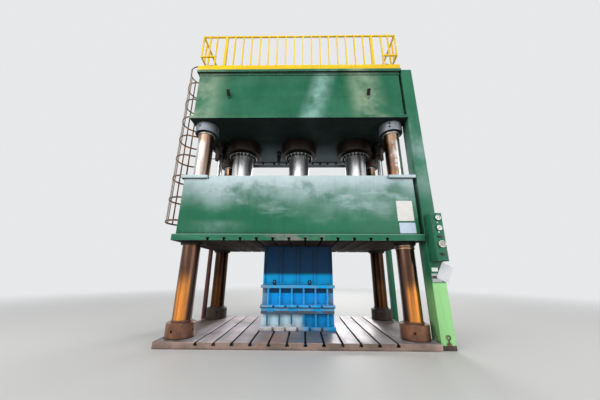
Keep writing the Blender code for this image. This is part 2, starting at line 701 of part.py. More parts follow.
def make_slide(carrier):
    """The welded slide: box body, raised middle, square corner plates and bores for the bushes."""
    half_x, half_y = SLIDE_HALF_WIDTH - SLIDE_INSET, HALF_DEPTH - SLIDE_INSET
    shoulder = SLIDE_TOP - CORNER_PLATE_THICKNESS
    low = SLIDE_BODY_BOTTOM + SEAT_GAP
    drop = carrier.location.z
    body = closed_mesh("slide", [box((-half_x, -half_y, low - drop), (half_x, half_y, shoulder - drop))])
    slide = place("slide", body, GREEN_PAINT, carrier.location, carrier)
    corner_x = SLIDE_HALF_WIDTH - CORNER_PLATE_LENGTH
    middle_x = corner_x - CORNER_GROOVE
    tops = [box((-middle_x, -half_y, shoulder - SLIDE_INSET), (middle_x, half_y, SLIDE_TOP))]
    for x_low, x_high in ((corner_x, SLIDE_HALF_WIDTH), (-SLIDE_HALF_WIDTH, -corner_x)):
        near = HALF_DEPTH - CORNER_PLATE_DEPTH
        tops.append(box((x_low, near, shoulder), (x_high, HALF_DEPTH, SLIDE_TOP)))
        tops.append(box((x_low, -HALF_DEPTH, shoulder), (x_high, -near, SLIDE_TOP)))
    combine(slide, "UNION", hidden("slide_tops", closed_mesh("slide_tops", tops)))
    bores = column_drums(BUSH_RADIUS + SEAT_GAP, low - OVERRUN, SLIDE_TOP + OVERRUN)
    combine(slide, "DIFFERENCE", hidden("slide_bores", closed_mesh("slide_bores", bores)))


def make_slide_plate(carrier):
    """The tee-slotted plate under the slide that the upper tooling hangs from."""
    low, high = SLIDE_BOTTOM, SLIDE_BODY_BOTTOM
    drop = carrier.location.z
    body = closed_mesh("slide_plate", [plate(low - drop, high - drop, SLIDE_HALF_WIDTH)])
    piece = place("slide_plate", body, GREEN_PAINT, carrier.location, carrier)
    slots = closed_mesh("slide_slots", slot_prisms(low, 1))
    combine(piece, "DIFFERENCE", hidden("slide_slots", slots))
    bores = column_drums(BUSH_RADIUS + SEAT_GAP, low - OVERRUN, high + OVERRUN)
    combine(piece, "DIFFERENCE", hidden("slide_plate_bores", closed_mesh("slide_plate_bores", bores)))


def make_bushes(carrier):
    """A flanged guide bush at each column, its retaining flange bolted under the slide."""
    bore = COLUMN_RADIUS + RUNNING_GAP
    flange = COLUMN_RADIUS + BUSH_FLANGE_WALL
    height = SLIDE_TOP - SLIDE_BOTTOM - BUSH_LIP + BUSH_FLANGE_HEIGHT
    seat = BUSH_FLANGE_HEIGHT - SEAT_GAP
    outline = [
        (BUSH_RADIUS, height), (BUSH_RADIUS, seat), (flange, seat), (flange, BUSH_LIP),
        (flange - BUSH_LIP, 0), (bore, 0), (bore, height),
    ]
    bush = bake(turned("guide_bush", outline, COLUMN_SIDES, BUSH_BLACK, parent=carrier))
    low = SLIDE_BOTTOM - BUSH_FLANGE_HEIGHT
    places = {f"guide_bush_{key}": (x, y, low) for key, (x, y) in COLUMN_PLACES.items()}
    repeat(bush, places, carrier)


def die_block(low, high, flanges, front, rear):
    """Fill for the plain block and flanges of a die shoe, front to rear."""
    half = DIE_WIDTH / 2
    inner = half - DIE_BODY_INSET
    fills = [box((-inner, front + DIE_BODY_INSET, low), (inner, rear - DIE_BODY_INSET, high))]
    plates = [box((-half, front, a), (half, rear, b)) for a, b in flanges]
    return fills, plates


def die_pockets(low, high, front, rear):
    """Pockets between the ribs on the front and rear of a die shoe."""
    first = -DIE_RIB_PITCH * (DIE_RIB_COUNT - 1) / 2
    ribs = [first + n * DIE_RIB_PITCH for n in range(DIE_RIB_COUNT)]
    edges = [-DIE_WIDTH / 2 - OVERRUN] + ribs + [DIE_WIDTH / 2 + OVERRUN]
    pockets = []
    for n in range(len(edges) - 1):
        left = edges[n] + (DIE_RIB / 2 if n > 0 else 0)
        right = edges[n + 1] - (DIE_RIB / 2 if n < len(edges) - 2 else 0)
        inset = DIE_BODY_INSET + DIE_POCKET_DEPTH
        pockets.append(box((left, front - OVERRUN, low), (right, front + inset, high)))
        pockets.append(box((left, rear - inset, low), (right, rear + OVERRUN, high)))
    return pockets


def clamp_notches(low, high, front, rear):
    """Clamp notches in the front and rear edges of a die flange, one between each two ribs."""
    first = -DIE_RIB_PITCH * (DIE_RIB_COUNT - 2) / 2
    notches = []
    for n in range(DIE_RIB_COUNT - 1):
        x = first + n * DIE_RIB_PITCH
        near, far = x - NOTCH_WIDTH / 2, x + NOTCH_WIDTH / 2
        notches.append(box((near, front - OVERRUN, low), (far, front + NOTCH_DEPTH, high)))
        notches.append(box((near, rear - NOTCH_DEPTH, low), (far, rear + OVERRUN, high)))
    return notches


def make_lower_die():
    """The lower die shoe, clamped on the bed: flange, ribbed walls and top plate."""
    low = BED_TOP + SEAT_GAP
    high = BED_TOP + LOWER_DIE_HEIGHT
    front = DIE_SHIFT - DIE_DEPTH / 2
    rear = DIE_SHIFT + DIE_DEPTH / 2
    flange_top = low + DIE_FLANGE
    plate_low = high - DIE_TOP_PLATE
    body, plates = die_block(low, high, [(low, flange_top)], front, rear)
    die = place("lower_die", closed_mesh("lower_die", body), BLUE_PAINT)
    combine(die, "UNION", hidden("lower_die_flange", closed_mesh("lower_die_flange", plates)))
    cuts = die_pockets(flange_top, plate_low, front, rear)
    combine(die, "DIFFERENCE", hidden("lower_die_pockets", closed_mesh("lower_die_pockets", cuts)))
    cuts = clamp_notches(low - OVERRUN, flange_top + SEAT_GAP, front, rear)
    combine(die, "DIFFERENCE", hidden("lower_die_notches", closed_mesh("lower_die_notches", cuts)))


def make_upper_die(carrier):
    """The upper die shoe: two flanges with ribbed walls between them."""
    low = BED_TOP + LOWER_DIE_HEIGHT + SEAT_GAP
    high = low + UPPER_DIE_HEIGHT
    front = DIE_SHIFT - DIE_DEPTH / 2
    rear = DIE_SHIFT + DIE_DEPTH / 2
    flanges = [(low, low + UPPER_DIE_FLANGE), (high - UPPER_DIE_FLANGE, high)]
    body, plates = die_block(low, high, flanges, front, rear)
    die = place("upper_die", closed_mesh("upper_die", body), BLUE_PAINT)
    die.parent = carrier
    die.matrix_parent_inverse = Matrix.Translation(carrier.location).inverted()
    combine(die, "UNION", hidden("upper_die_flanges", closed_mesh("upper_die_flanges", plates)))
    cuts = die_pockets(low + UPPER_DIE_FLANGE, high - UPPER_DIE_FLANGE, front, rear)
    combine(die, "DIFFERENCE", hidden("upper_die_pockets", closed_mesh("upper_die_pockets", cuts)))
    cuts = clamp_notches(low - OVERRUN, low + UPPER_DIE_FLANGE + SEAT_GAP, front, rear)
    combine(die, "DIFFERENCE", hidden("upper_die_notches", closed_mesh("upper_die_notches", cuts)))


def make_die_spacer(carrier):
    """The ribbed box that packs the upper die down from the slide."""
    low = BED_TOP + LOWER_DIE_HEIGHT + UPPER_DIE_HEIGHT + 2 * SEAT_GAP
    high = SLIDE_BOTTOM - SEAT_GAP
    half, reach = DIE_WIDTH / 2 - SPACER_INSET, SPACER_DEPTH / 2
    front, rear = DIE_SHIFT - reach, DIE_SHIFT + reach
    spacer = place(
        "die_spacer", closed_mesh("die_spacer", [box((-half, front, low), (half, rear, high))]), BLUE_PAINT
    )
    spacer.parent = carrier
    spacer.matrix_parent_inverse = Matrix.Translation(carrier.location).inverted()
    first = -SPACER_RIB_PITCH * (SPACER_RIB_COUNT - 1) / 2
    ribs = [first + n * SPACER_RIB_PITCH for n in range(SPACER_RIB_COUNT)]
    edges = [-half + SPACER_RIB / 2] + ribs + [half - SPACER_RIB / 2]
    cuts = []
    for left, right in zip(edges[:-1], edges[1:]):
        near, far = left + SPACER_RIB / 2, right - SPACER_RIB / 2
        z_low, z_high = low + SPACER_FLANGE, high - SPACER_FLANGE
        cuts.append(box((near, front - OVERRUN, z_low), (far, front + SPACER_PANEL_DEPTH, z_high)))
        cuts.append(box((near, rear - SPACER_PANEL_DEPTH, z_low), (far, rear + OVERRUN, z_high)))
    combine(spacer, "DIFFERENCE", hidden("spacer_panels", closed_mesh("spacer_panels", cuts)))


def open_ring(half_x, half_y, width, gap_low, gap_high, z):
    """A flat rectangular ring seen from above, open on its left side for the ladder landing."""
    in_x, in_y = half_x - width, half_y - width
    return [
        (-half_x, gap_low, z), (-half_x, -half_y, z), (half_x, -half_y, z), (half_x, half_y, z),
        (-half_x, half_y, z), (-half_x, gap_high, z), (-in_x, gap_high, z), (-in_x, in_y, z),
        (in_x, in_y, z), (in_x, -in_y, z), (-in_x, -in_y, z), (-in_x, gap_low, z),
    ]


def corner_bar(side_x, side_y, half_x, half_y, width, length, z):
    """A flat L that turns a corner of the guardrail."""
    corner = [
        (half_x, half_y), (half_x, half_y - length), (half_x - width, half_y - length),
        (half_x - width, half_y - width), (half_x - length, half_y - width),
        (half_x - length, half_y),
    ]
    return [(side_x * x, side_y * y, z) for x, y in corner]


def spread(first, last, pitch):
    """Even places strictly between two posts, as near to the pitch as fits."""
    bays = max(1, round((last - first) / pitch))
    return [first + (last - first) * n / bays for n in range(1, bays)]


def make_guardrail():
    """The yellow guardrail round the crown, with its toe board and the landing gap."""
    low = CROWN_TOP + SEAT_GAP
    toe_top = low + TOE_HEIGHT
    rail_top = toe_top + RAIL_RISE
    toe_x, toe_y = HALF_WIDTH - TOE_INSET, HALF_DEPTH - TOE_INSET
    line_x, line_y = toe_x - TOE_THICKNESS, toe_y - TOE_THICKNESS
    gap_low, gap_high = LADDER_Y - LANDING_HALF, LADDER_Y + LANDING_HALF
    toe = open_ring(toe_x, toe_y, TOE_THICKNESS, gap_low, gap_high, low)
    rail = open_ring(line_x, line_y, RAIL_BAR, gap_low, gap_high, rail_top - RAIL_BAR)
    levels = [prism(toe, (0, 0, TOE_HEIGHT)), prism(rail, (0, 0, RAIL_BAR))]
    notch_low = toe_top + NOTCH_RISE
    for side_x in (-1, 1):
        for side_y in (-1, 1):
            bar = corner_bar(side_x, side_y, line_x, line_y, RAIL_BAR, NOTCH_LENGTH, notch_low)
            levels.append(prism(bar, (0, 0, RAIL_BAR)))
    guard = place("guardrail", closed_mesh("guardrail", levels), YELLOW_PAINT)
    end_x, end_y = line_x - NOTCH_LENGTH, line_y - NOTCH_LENGTH
    inner = RAIL_BAR / 2
    weld = TOE_THICKNESS / 2
    uprights = []

    def upright(x, y, bar, foot):
        """A bar from the toe board, or from a corner bar, up into the top rail."""
        half = bar / 2
        x = max(-line_x + half, min(line_x - half, x))
        y = max(-line_y + half, min(line_y - half, y))
        outward_x = weld if abs(abs(x) + half - line_x) < SEAT_GAP and foot == low else 0
        outward_y = weld if abs(abs(y) + half - line_y) < SEAT_GAP and foot == low else 0
        x_low = x - half - (outward_x if x < 0 else 0)
        x_high = x + half + (outward_x if x > 0 else 0)
        y_low = y - half - (outward_y if y < 0 else 0)
        y_high = y + half + (outward_y if y > 0 else 0)
        top = rail_top - RAIL_BAR / 2
        uprights.append(box((x_low, y_low, foot), (x_high, y_high, top)))

    for side in (-1, 1):
        y = side * line_y
        pitch = BALUSTER_PITCH if side < 0 else RAIL_REAR_PITCH
        for x in spread(-POST_X, POST_X, pitch):
            upright(x, y, BALUSTER_BAR, low)
        for hand in (-1, 1):
            upright(hand * POST_X, y, POST_BAR, low)
            upright(hand * (end_x + inner), y, BALUSTER_BAR, low)
            upright(hand * (line_x + end_x) / 2, y, BALUSTER_BAR, notch_low + inner)
            upright(hand * line_x, y, BALUSTER_BAR, notch_low + inner)
    for hand in (-1, 1):
        x = hand * line_x
        for side in (-1, 1):
            upright(x, side * (line_y + end_y) / 2, BALUSTER_BAR, notch_low + inner)
        stretches = [(-end_y, end_y)] if hand > 0 else [(-end_y, gap_low)]
        for first, last in stretches:
            for y in spread(first, last, RAIL_REAR_PITCH):
                upright(x, y, BALUSTER_BAR, low)
            upright(x, first, BALUSTER_BAR, low)
            upright(x, last - (inner if hand < 0 else 0), BALUSTER_BAR, low)
    upright(-line_x, gap_high + inner, BALUSTER_BAR, low)
    combine(guard, "UNION", hidden("guard_uprights", closed_mesh("guard_uprights", uprights)))


def hoop_outline(z):
    """A flat-bar hoop seen from above: flared legs from the stiles' edges and a half circle."""
    centre = (-(HALF_WIDTH + LADDER_X + HOOP_REACH), LADDER_Y)
    root = -(HALF_WIDTH + LADDER_X + STILE_DEPTH / 2 + SEAT_GAP)

    def side(radius, half, root_x):
        arc = []
        for n in range(HOOP_SEGMENTS + 1):
            turn = math.pi * (0.5 + n / HOOP_SEGMENTS)
            arc.append((centre[0] + radius * math.cos(turn), centre[1] + radius * math.sin(turn), z))
        return [(root_x, LADDER_Y + half, z)] + arc + [(root_x, LADDER_Y - half, z)]

    outer = side(HOOP_RADIUS, LADDER_HALF_WIDTH + STILE_THICKNESS / 2, root)
    inner = side(HOOP_RADIUS - HOOP_THICKNESS, LADDER_HALF_WIDTH - STILE_THICKNESS / 2, root)
    return outer + inner[::-1]


def hoop_heights():
    """Undersides of the cage hoops, each at the height of a rung, up to the stiles' top."""
    top = CROWN_TOP + STILE_ABOVE_DECK
    rungs_above = round((CROWN_TOP - BED_TOP - HOOP_START) / RUNG_PITCH)
    first = CROWN_TOP - rungs_above * RUNG_PITCH
    pitch = RUNGS_PER_HOOP * RUNG_PITCH
    count = math.floor((top - HOOP_STRIP - first) / pitch) + 1
    return [first + n * pitch for n in range(count)]


def anchor_heights():
    """Middles of the arms that hold the ladder and the rear post: one at the bed, two at the crown."""
    low_flange, high_flange = CROWN_BOTTOM + FLANGE_THICKNESS / 2, CROWN_TOP - FLANGE_THICKNESS / 2
    return BED_TOP - BED_THICKNESS / 4, low_flange, high_flange


def make_ladder():
    """The ladder at the left of the press: two stiles, round rungs and the arms that hold it."""
    x = -(HALF_WIDTH + LADDER_X)
    half, edge = STILE_DEPTH / 2, STILE_THICKNESS / 2
    stiles = []
    for side in (-1, 1):
        y = LADDER_Y + side * LADDER_HALF_WIDTH
        high = (x + half, y + edge, CROWN_TOP + STILE_ABOVE_DECK)
        stiles.append(box((x - half, y - edge, FLOOR_LINE), high))
    ladder = place("caged_ladder", closed_mesh("caged_ladder", stiles), LADDER_RUST)
    crossings = []
    rungs = math.floor((CROWN_TOP - FLOOR_LINE) / RUNG_PITCH)
    length = 2 * LADDER_HALF_WIDTH
    for n in range(rungs):
        z = CROWN_TOP - n * RUNG_PITCH
        crossings.append(drum((x, LADDER_Y, z), RUNG_RADIUS, length, "Y", sides=RUNG_SIDES))
    for z in anchor_heights():
        for side in (-1, 1):
            y = LADDER_Y + side * LADDER_HALF_WIDTH
            outer = y + side * STILE_THICKNESS
            low = (x, min(y, outer), z - LADDER_ARM / 2)
            high = (-HALF_WIDTH - SEAT_GAP, max(y, outer), z + LADDER_ARM / 2)
            crossings.append(box(low, high))
    combine(ladder, "UNION", hidden("ladder_crossings", closed_mesh("ladder_crossings", crossings)))


def make_ladder_hoops():
    """The cage round the climber: flat-bar hoops butted on the stiles and tied by upright strips."""
    hoops = hoop_heights()
    centre_x = -(HALF_WIDTH + LADDER_X + HOOP_REACH)
    strips = []
    for angle in CAGE_STRIP_ANGLES:
        turn = math.pi + math.radians(angle)
        reach = HOOP_RADIUS - HOOP_THICKNESS
        across, along = reach * math.cos(turn), reach * math.sin(turn)
        middle = (centre_x + across, LADDER_Y + along, (hoops[0] + hoops[-1] + HOOP_STRIP) / 2)
        size = (HOOP_THICKNESS, CAGE_STRIP_WIDTH, hoops[-1] - hoops[0])
        strips.append(turned_box(middle, size, Matrix.Rotation(turn, 4, "Z")))
    cage = place("ladder_hoops", closed_mesh("ladder_hoops", strips), LADDER_RUST)
    bars = [prism(hoop_outline(z), (0, 0, HOOP_STRIP)) for z in hoops]
    combine(cage, "UNION", hidden("hoop_bars", closed_mesh("hoop_bars", bars)))


def make_control_post():
    """The box-section post that carries the control box, bolted to the bed and the crown."""
    low = (POST_FACE_X, POST_FACE_Y, FLOOR_LINE)
    high = (POST_FACE_X + POST_WIDTH, POST_FACE_Y + POST_DEPTH, CROWN_TOP)
    place("control_post", closed_mesh("control_post", [box(low, high)]), GREEN_PAINT)


def box_face():
    """X middle, front Y and top Z of the control box's door."""
    x = POST_FACE_X + BOX_OFFSET + BOX_WIDTH / 2
    y = POST_FACE_Y - SEAT_GAP - BOX_DEPTH
    return x, y, BED_TOP + BOX_RISE + BOX_HEIGHT


def make_control_box():
    """The instrument box on the front of the post, with a raised door."""
    x, y, top = box_face()
    half = BOX_WIDTH / 2
    body = box((x - half, y + BOX_DOOR_THICKNESS, top - BOX_HEIGHT), (x + half, y + BOX_DEPTH, top))
    case = place("control_box", closed_mesh("control_box", [body]), GREEN_PAINT)
    inset = half - BOX_DOOR_MARGIN
    door_low = (x - inset, y, top - BOX_HEIGHT + BOX_DOOR_MARGIN)
    door_high = (x + inset, y + 2 * BOX_DOOR_THICKNESS, top - BOX_DOOR_MARGIN)
    combine(case, "UNION", hidden("box_door", closed_mesh("box_door", [box(door_low, door_high)])))


def make_gauge(key, radius, drop):
    """One dial gauge on the door, and its needle on the dial."""
    x, y, top = box_face()
    face = GAUGE_DEPTH - GAUGE_RECESS
    dial = radius - GAUGE_BEZEL
    outline = [
        (0, face), (dial, face), (dial, GAUGE_DEPTH), (radius, GAUGE_DEPTH), (radius, 0), (0, 0),
    ]
    gauge = turned(f"gauge_{key}", outline, GAUGE_SIDES, CASE_CHROME, (x, y - SEAT_GAP, top - drop))
    gauge.rotation_euler = (math.pi / 2, 0, 0)
    front = y - SEAT_GAP - face - SEAT_GAP
    length = dial - NEEDLE_HUB_RADIUS / 2
    tail = length * NEEDLE_TAIL_SHARE
    half = NEEDLE_WIDTH / 2
    middle = (0, -NEEDLE_THICKNESS / 2, 0)
    hub = [drum(middle, NEEDLE_HUB_RADIUS, NEEDLE_THICKNESS, "Y", sides=NEEDLE_HUB_SIDES)]
    needle = place(f"needle_{key}", closed_mesh(f"needle_{key}", hub), HANDLE_BLACK, (x, front, top - drop))
    thin = NEEDLE_THICKNESS / 4
    bar = [box((-half, -NEEDLE_THICKNESS + thin, -tail), (half, -thin, length))]
    guide = hidden(f"needle_{key}_bar", closed_mesh(f"needle_{key}_bar", bar), needle.location)
    for turned_piece in (needle, guide):
        turned_piece.rotation_euler = (0, NEEDLE_REST_ANGLE, 0)
    combine(needle, "UNION", guide)


def make_handle(name, drop):
    """A rotary handle on the door: round boss and a flat grip."""
    x, y, top = box_face()
    place_at = (x, y - SEAT_GAP, top - drop)
    boss = [drum((0, -KNOB_DEPTH / 2, 0), KNOB_RADIUS, KNOB_DEPTH, "Y", sides=KNOB_SIDES)]
    handle = place(name, closed_mesh(name, boss), HANDLE_BLACK, place_at)
    half_x, half_z = KNOB_GRIP_LENGTH / 2, KNOB_GRIP_HEIGHT / 2
    low = (-half_x, -KNOB_DEPTH - KNOB_GRIP_DEPTH / 2, -half_z)
    grip = [box(low, (half_x, -KNOB_DEPTH + KNOB_GRIP_DEPTH / 2, half_z))]
    combine(handle, "UNION", hidden(name + "_grip", closed_mesh(name + "_grip", grip), place_at))


def make_document_board():
    """A plain sheet holder hung askew on the front of the post, below the box."""
    top = box_face()[2]
    reach = (BOARD_HEIGHT * math.cos(BOARD_TILT) + BOARD_WIDTH * math.sin(BOARD_TILT)) / 2
    z = top - BOX_HEIGHT - BOARD_GAP - reach
    centre = (POST_FACE_X + POST_WIDTH, POST_FACE_Y - SEAT_GAP - BOARD_THICKNESS / 2, z)
    size = (BOARD_WIDTH, BOARD_THICKNESS, BOARD_HEIGHT)
    sheet = turned_box((0, 0, 0), size, Matrix.Rotation(BOARD_TILT, 4, "Y"))
    place("document_board", closed_mesh("document_board", [sheet]), BOARD_WHITE, centre)


def make_rear_post():
    """The cable duct at the right rear, held off the crown and the bed by flat arms."""
    low_x = HALF_WIDTH + REAR_POST_GAP
    high_x = low_x + REAR_POST_SIZE
    high_y = HALF_DEPTH - REAR_POST_INSET
    low_y = high_y - REAR_POST_SIZE
    body = [box((low_x, low_y, FLOOR_LINE), (high_x, high_y, CROWN_TOP))]
    post = place("rear_post", closed_mesh("rear_post", body), GREEN_PAINT)
    half = REAR_POST_ARM / 2
    inset = REAR_POST_SIZE / 4
    arms = []
    for z in anchor_heights():
        low = (HALF_WIDTH + SEAT_GAP, low_y + inset, z - half)
        arms.append(box(low, (low_x + inset, high_y - inset, z + half)))
    combine(post, "UNION", hidden("rear_post_arms", closed_mesh("rear_post_arms", arms)))


def make_oil_riser():
    """The oil pipe up the left rear, from the lower beam's side to the crown's side."""
    wall = HALF_WIDTH - FLANGE_LIP + SEAT_GAP
    x = -(HALF_WIDTH + RISER_X)
    bottom, top = BASE_TOP - RISER_BOTTOM, CROWN_BOTTOM + RISER_TOP
    route = [(-wall, bottom)]
    for n in range(RISER_BEND_POINTS):
        turn = math.pi / 2 * n / (RISER_BEND_POINTS - 1)
        route.append((x + RISER_BEND * (1 - math.sin(turn)), bottom + RISER_BEND * (1 - math.cos(turn))))
    for n in range(RISER_BEND_POINTS):
        turn = math.pi / 2 * n / (RISER_BEND_POINTS - 1)
        route.append((x + RISER_BEND * (1 - math.cos(turn)), top - RISER_BEND * (1 - math.sin(turn))))
    route.append((-wall, top))
    curve = bpy.data.curves.new("oil_riser", "CURVE")
    curve.dimensions = "3D"
    curve.bevel_depth = RISER_RADIUS
    curve.bevel_resolution = 2
    curve.use_fill_caps = True
    line = curve.splines.new("POLY")
    line.points.add(len(route) - 1)
    for point, (px, pz) in zip(line.points, route):
        point.co = (px, RISER_Y, pz, 1)
    tube = bpy.data.objects.new("riser_tube", curve)
    PARTS.objects.link(tube)
    source = tube.evaluated_get(bpy.context.evaluated_depsgraph_get())
    mesh = bpy.data.meshes.new_from_object(source)
    bpy.data.objects.remove(tube, do_unlink=True)
    bm = bmesh.new()
    bm.from_mesh(mesh)
    bmesh.ops.remove_doubles(bm, verts=bm.verts, dist=MERGE_DISTANCE)
    bmesh.ops.recalc_face_normals(bm, faces=bm.faces)
    bm.to_mesh(mesh)
    bm.free()
    riser = place("oil_riser", mesh, RISER_RED)
    thick = RISER_FLANGE_THICKNESS
    flanges = []
    for z in (bottom, top):
        middle = (-wall - thick / 2, RISER_Y, z)
        flanges.append(drum(middle, RISER_FLANGE_RADIUS, thick, "X", sides=PIPE_SIDES))
    combine(riser, "UNION", hidden("riser_flanges", closed_mesh("riser_flanges", flanges)))


def make_oil_tank():
    """The oil tank along the rear of the crown, on two feet, with its lid and filler."""
    low = CROWN_TOP + SEAT_GAP
    half = TANK_WIDTH / 2
    rear = HALF_DEPTH - TANK_REAR_GAP
    front = rear - TANK_DEPTH
    body_low = low + TANK_FOOT_HEIGHT
    body = [box((-half, front, body_low), (half, rear, low + TANK_HEIGHT))]
    tank = place("oil_tank", closed_mesh("oil_tank", body), GREEN_PAINT)
    lid_z = low + TANK_HEIGHT - TANK_LID
    lid_low = (-half - TANK_LID, front - TANK_LID, lid_z)
    trim = [box(lid_low, (half + TANK_LID, rear + TANK_LID, lid_z + 2 * TANK_LID))]
    for x in (-half + TANK_FOOT_HEIGHT, half - TANK_FOOT_HEIGHT):
        foot_low = (x - TANK_FOOT_HEIGHT, front, low)
        trim.append(box(foot_low, (x + TANK_FOOT_HEIGHT, rear, body_low + TANK_LID)))
    combine(tank, "UNION", hidden("tank_trim", closed_mesh("tank_trim", trim)))
    middle = (half / 2, (front + rear) / 2, lid_z + TANK_LID + TANK_FILLER_HEIGHT / 2)
    filler = [drum(middle, TANK_FILLER_RADIUS, TANK_FILLER_HEIGHT + TANK_LID, sides=PIPE_SIDES)]
    combine(tank, "UNION", hidden("tank_filler", closed_mesh("tank_filler", filler)))


def make_pump_unit():
    """The electric motor and oil pump on one bedplate, at the right front of the crown."""
    low = CROWN_TOP + SEAT_GAP
    y = PUMP_Y
    axis = low + PUMP_AXIS_RISE
    left, right = PUMP_X - MOTOR_LENGTH / 2, PUMP_X + MOTOR_LENGTH / 2
    motor = [drum((PUMP_X, y, axis), MOTOR_RADIUS, MOTOR_LENGTH, "X", sides=CYLINDER_SIDES)]
    pump = place("pump_unit", closed_mesh("pump_unit", motor), GREEN_PAINT)
    sunk = PUMP_BASE_HEIGHT
    middle = (left - (PUMP_LENGTH - sunk) / 2, y, axis)
    head = [drum(middle, PUMP_RADIUS, PUMP_LENGTH + sunk, "X", sides=PIPE_SIDES)]
    combine(pump, "UNION", hidden("pump_head", closed_mesh("pump_head", head)))
    saddle_low = (left + sunk, y - MOTOR_RADIUS / 2, low + PUMP_BASE_HEIGHT / 2)
    saddle = [box(saddle_low, (right - sunk, y + MOTOR_RADIUS / 2, axis))]
    combine(pump, "UNION", hidden("pump_saddle", closed_mesh("pump_saddle", saddle)))
    base_high = (right, y + MOTOR_RADIUS, low + PUMP_BASE_HEIGHT)
    base = [box((left, y - MOTOR_RADIUS, low), base_high)]
    combine(pump, "UNION", hidden("pump_base", closed_mesh("pump_base", base)))


def make_valve_block():
    """The valve block at the front of the crown, with its cartridges and the oil manifold."""
    low = CROWN_TOP + SEAT_GAP
    y = PUMP_Y
    half_w, half_d = VALVE_WIDTH / 2, VALVE_DEPTH / 2
    valve_top = low + VALVE_HEIGHT
    block = [box((-half_w, y - half_d, low), (half_w, y + half_d, valve_top))]
    valve = place("valve_block", closed_mesh("valve_block", block), HANDLE_BLACK)
    cartridges = []
    for n in range(VALVE_CARTRIDGES):
        x = VALVE_WIDTH * ((n + 0.5) / VALVE_CARTRIDGES - 0.5)
        middle = (x, y, valve_top + (VALVE_CARTRIDGE_HEIGHT - VALVE_CARTRIDGE_RADIUS) / 2)
        length = VALVE_CARTRIDGE_HEIGHT + VALVE_CARTRIDGE_RADIUS
        cartridges.append(drum(middle, VALVE_CARTRIDGE_RADIUS, length, sides=PIPE_SIDES))
    combine(valve, "UNION", hidden("valve_cartridges", closed_mesh("valve_cartridges", cartridges)))
    pipe_z = low + BARREL_NUT_HEIGHT + BARREL_CAP_HEIGHT / 2
    pipe_y = MANIFOLD_Y
    run = 2 * CYLINDER_PITCH + 2 * MANIFOLD_RADIUS
    header = [drum((0, pipe_y, pipe_z), MANIFOLD_RADIUS, run, "X", sides=PIPE_SIDES)]
    combine(valve, "UNION", hidden("manifold_header", closed_mesh("manifold_header", header)))
    cap_y = -BARREL_CAP_RADIUS - SEAT_GAP
    branches = []
    for x in CYLINDER_PLACES.values():
        middle = (x, (pipe_y + cap_y) / 2, pipe_z)
        branches.append(drum(middle, BRANCH_RADIUS, cap_y - pipe_y, "Y", sides=PIPE_SIDES))
    combine(valve, "UNION", hidden("manifold_branches", closed_mesh("manifold_branches", branches)))
    inside_y = y + half_d / 2
    middle = (half_w / 2, (inside_y + pipe_y) / 2, pipe_z)
    stub = [drum(middle, BRANCH_RADIUS, pipe_y - inside_y, "Y", sides=PIPE_SIDES)]
    combine(valve, "UNION", hidden("manifold_stub", closed_mesh("manifold_stub", stub)))


def make_slide_carrier():
    """The empty that the slide and all that moves with it hang from, on the stroke's axis."""
    carrier = bpy.data.objects.new("slide_carrier", None)
    PARTS.objects.link(carrier)
    carrier.location = (0, 0, SLIDE_BOTTOM)
    return carrier


def main():
    """Builds the whole press."""
    make_lower_beam()
    make_bed_plate()
    make_columns()
    make_nuts()
    make_crown()
    make_cylinders()
    make_glands()
    carrier = make_slide_carrier()
    make_slide(carrier)
    make_slide_plate(carrier)
    make_bushes(carrier)
    make_rams(carrier)
    make_lower_die()
    make_upper_die(carrier)
    make_die_spacer(carrier)
    make_guardrail()
    make_ladder()
    make_ladder_hoops()
    make_control_post()
    make_control_box()
    make_gauge("upper", SMALL_GAUGE_RADIUS, UPPER_GAUGE_DROP)
    make_gauge("middle", SMALL_GAUGE_RADIUS, MIDDLE_GAUGE_DROP)
    make_gauge("lower", LARGE_GAUGE_RADIUS, LOWER_GAUGE_DROP)
    make_handle("selector_switch", SELECTOR_DROP)
    make_handle("valve_handle", LEVER_DROP)
    make_document_board()
    make_rear_post()
    make_oil_riser()
    make_oil_tank()
    make_pump_unit()
    make_valve_block()


main()
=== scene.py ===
# %% [markdown]
# # Dressing a four-column hydraulic press
# The construction of the press arrives as a fixed frame: every casting, column, ram and plate is
# already in its place and at its real size, in metres, with +Z up and the front towards -Y. This
# lesson dresses that frame. It rounds the edges that a plate shop would grind, turns the round
# pieces smoothly, adds the bolts, seams and dials that are too fine for the construction, and
# gives each surface the paint, oil, rust or polish that a working press has.

import math

import bmesh
import bpy
import numpy as np
from mathutils import Matrix, Vector


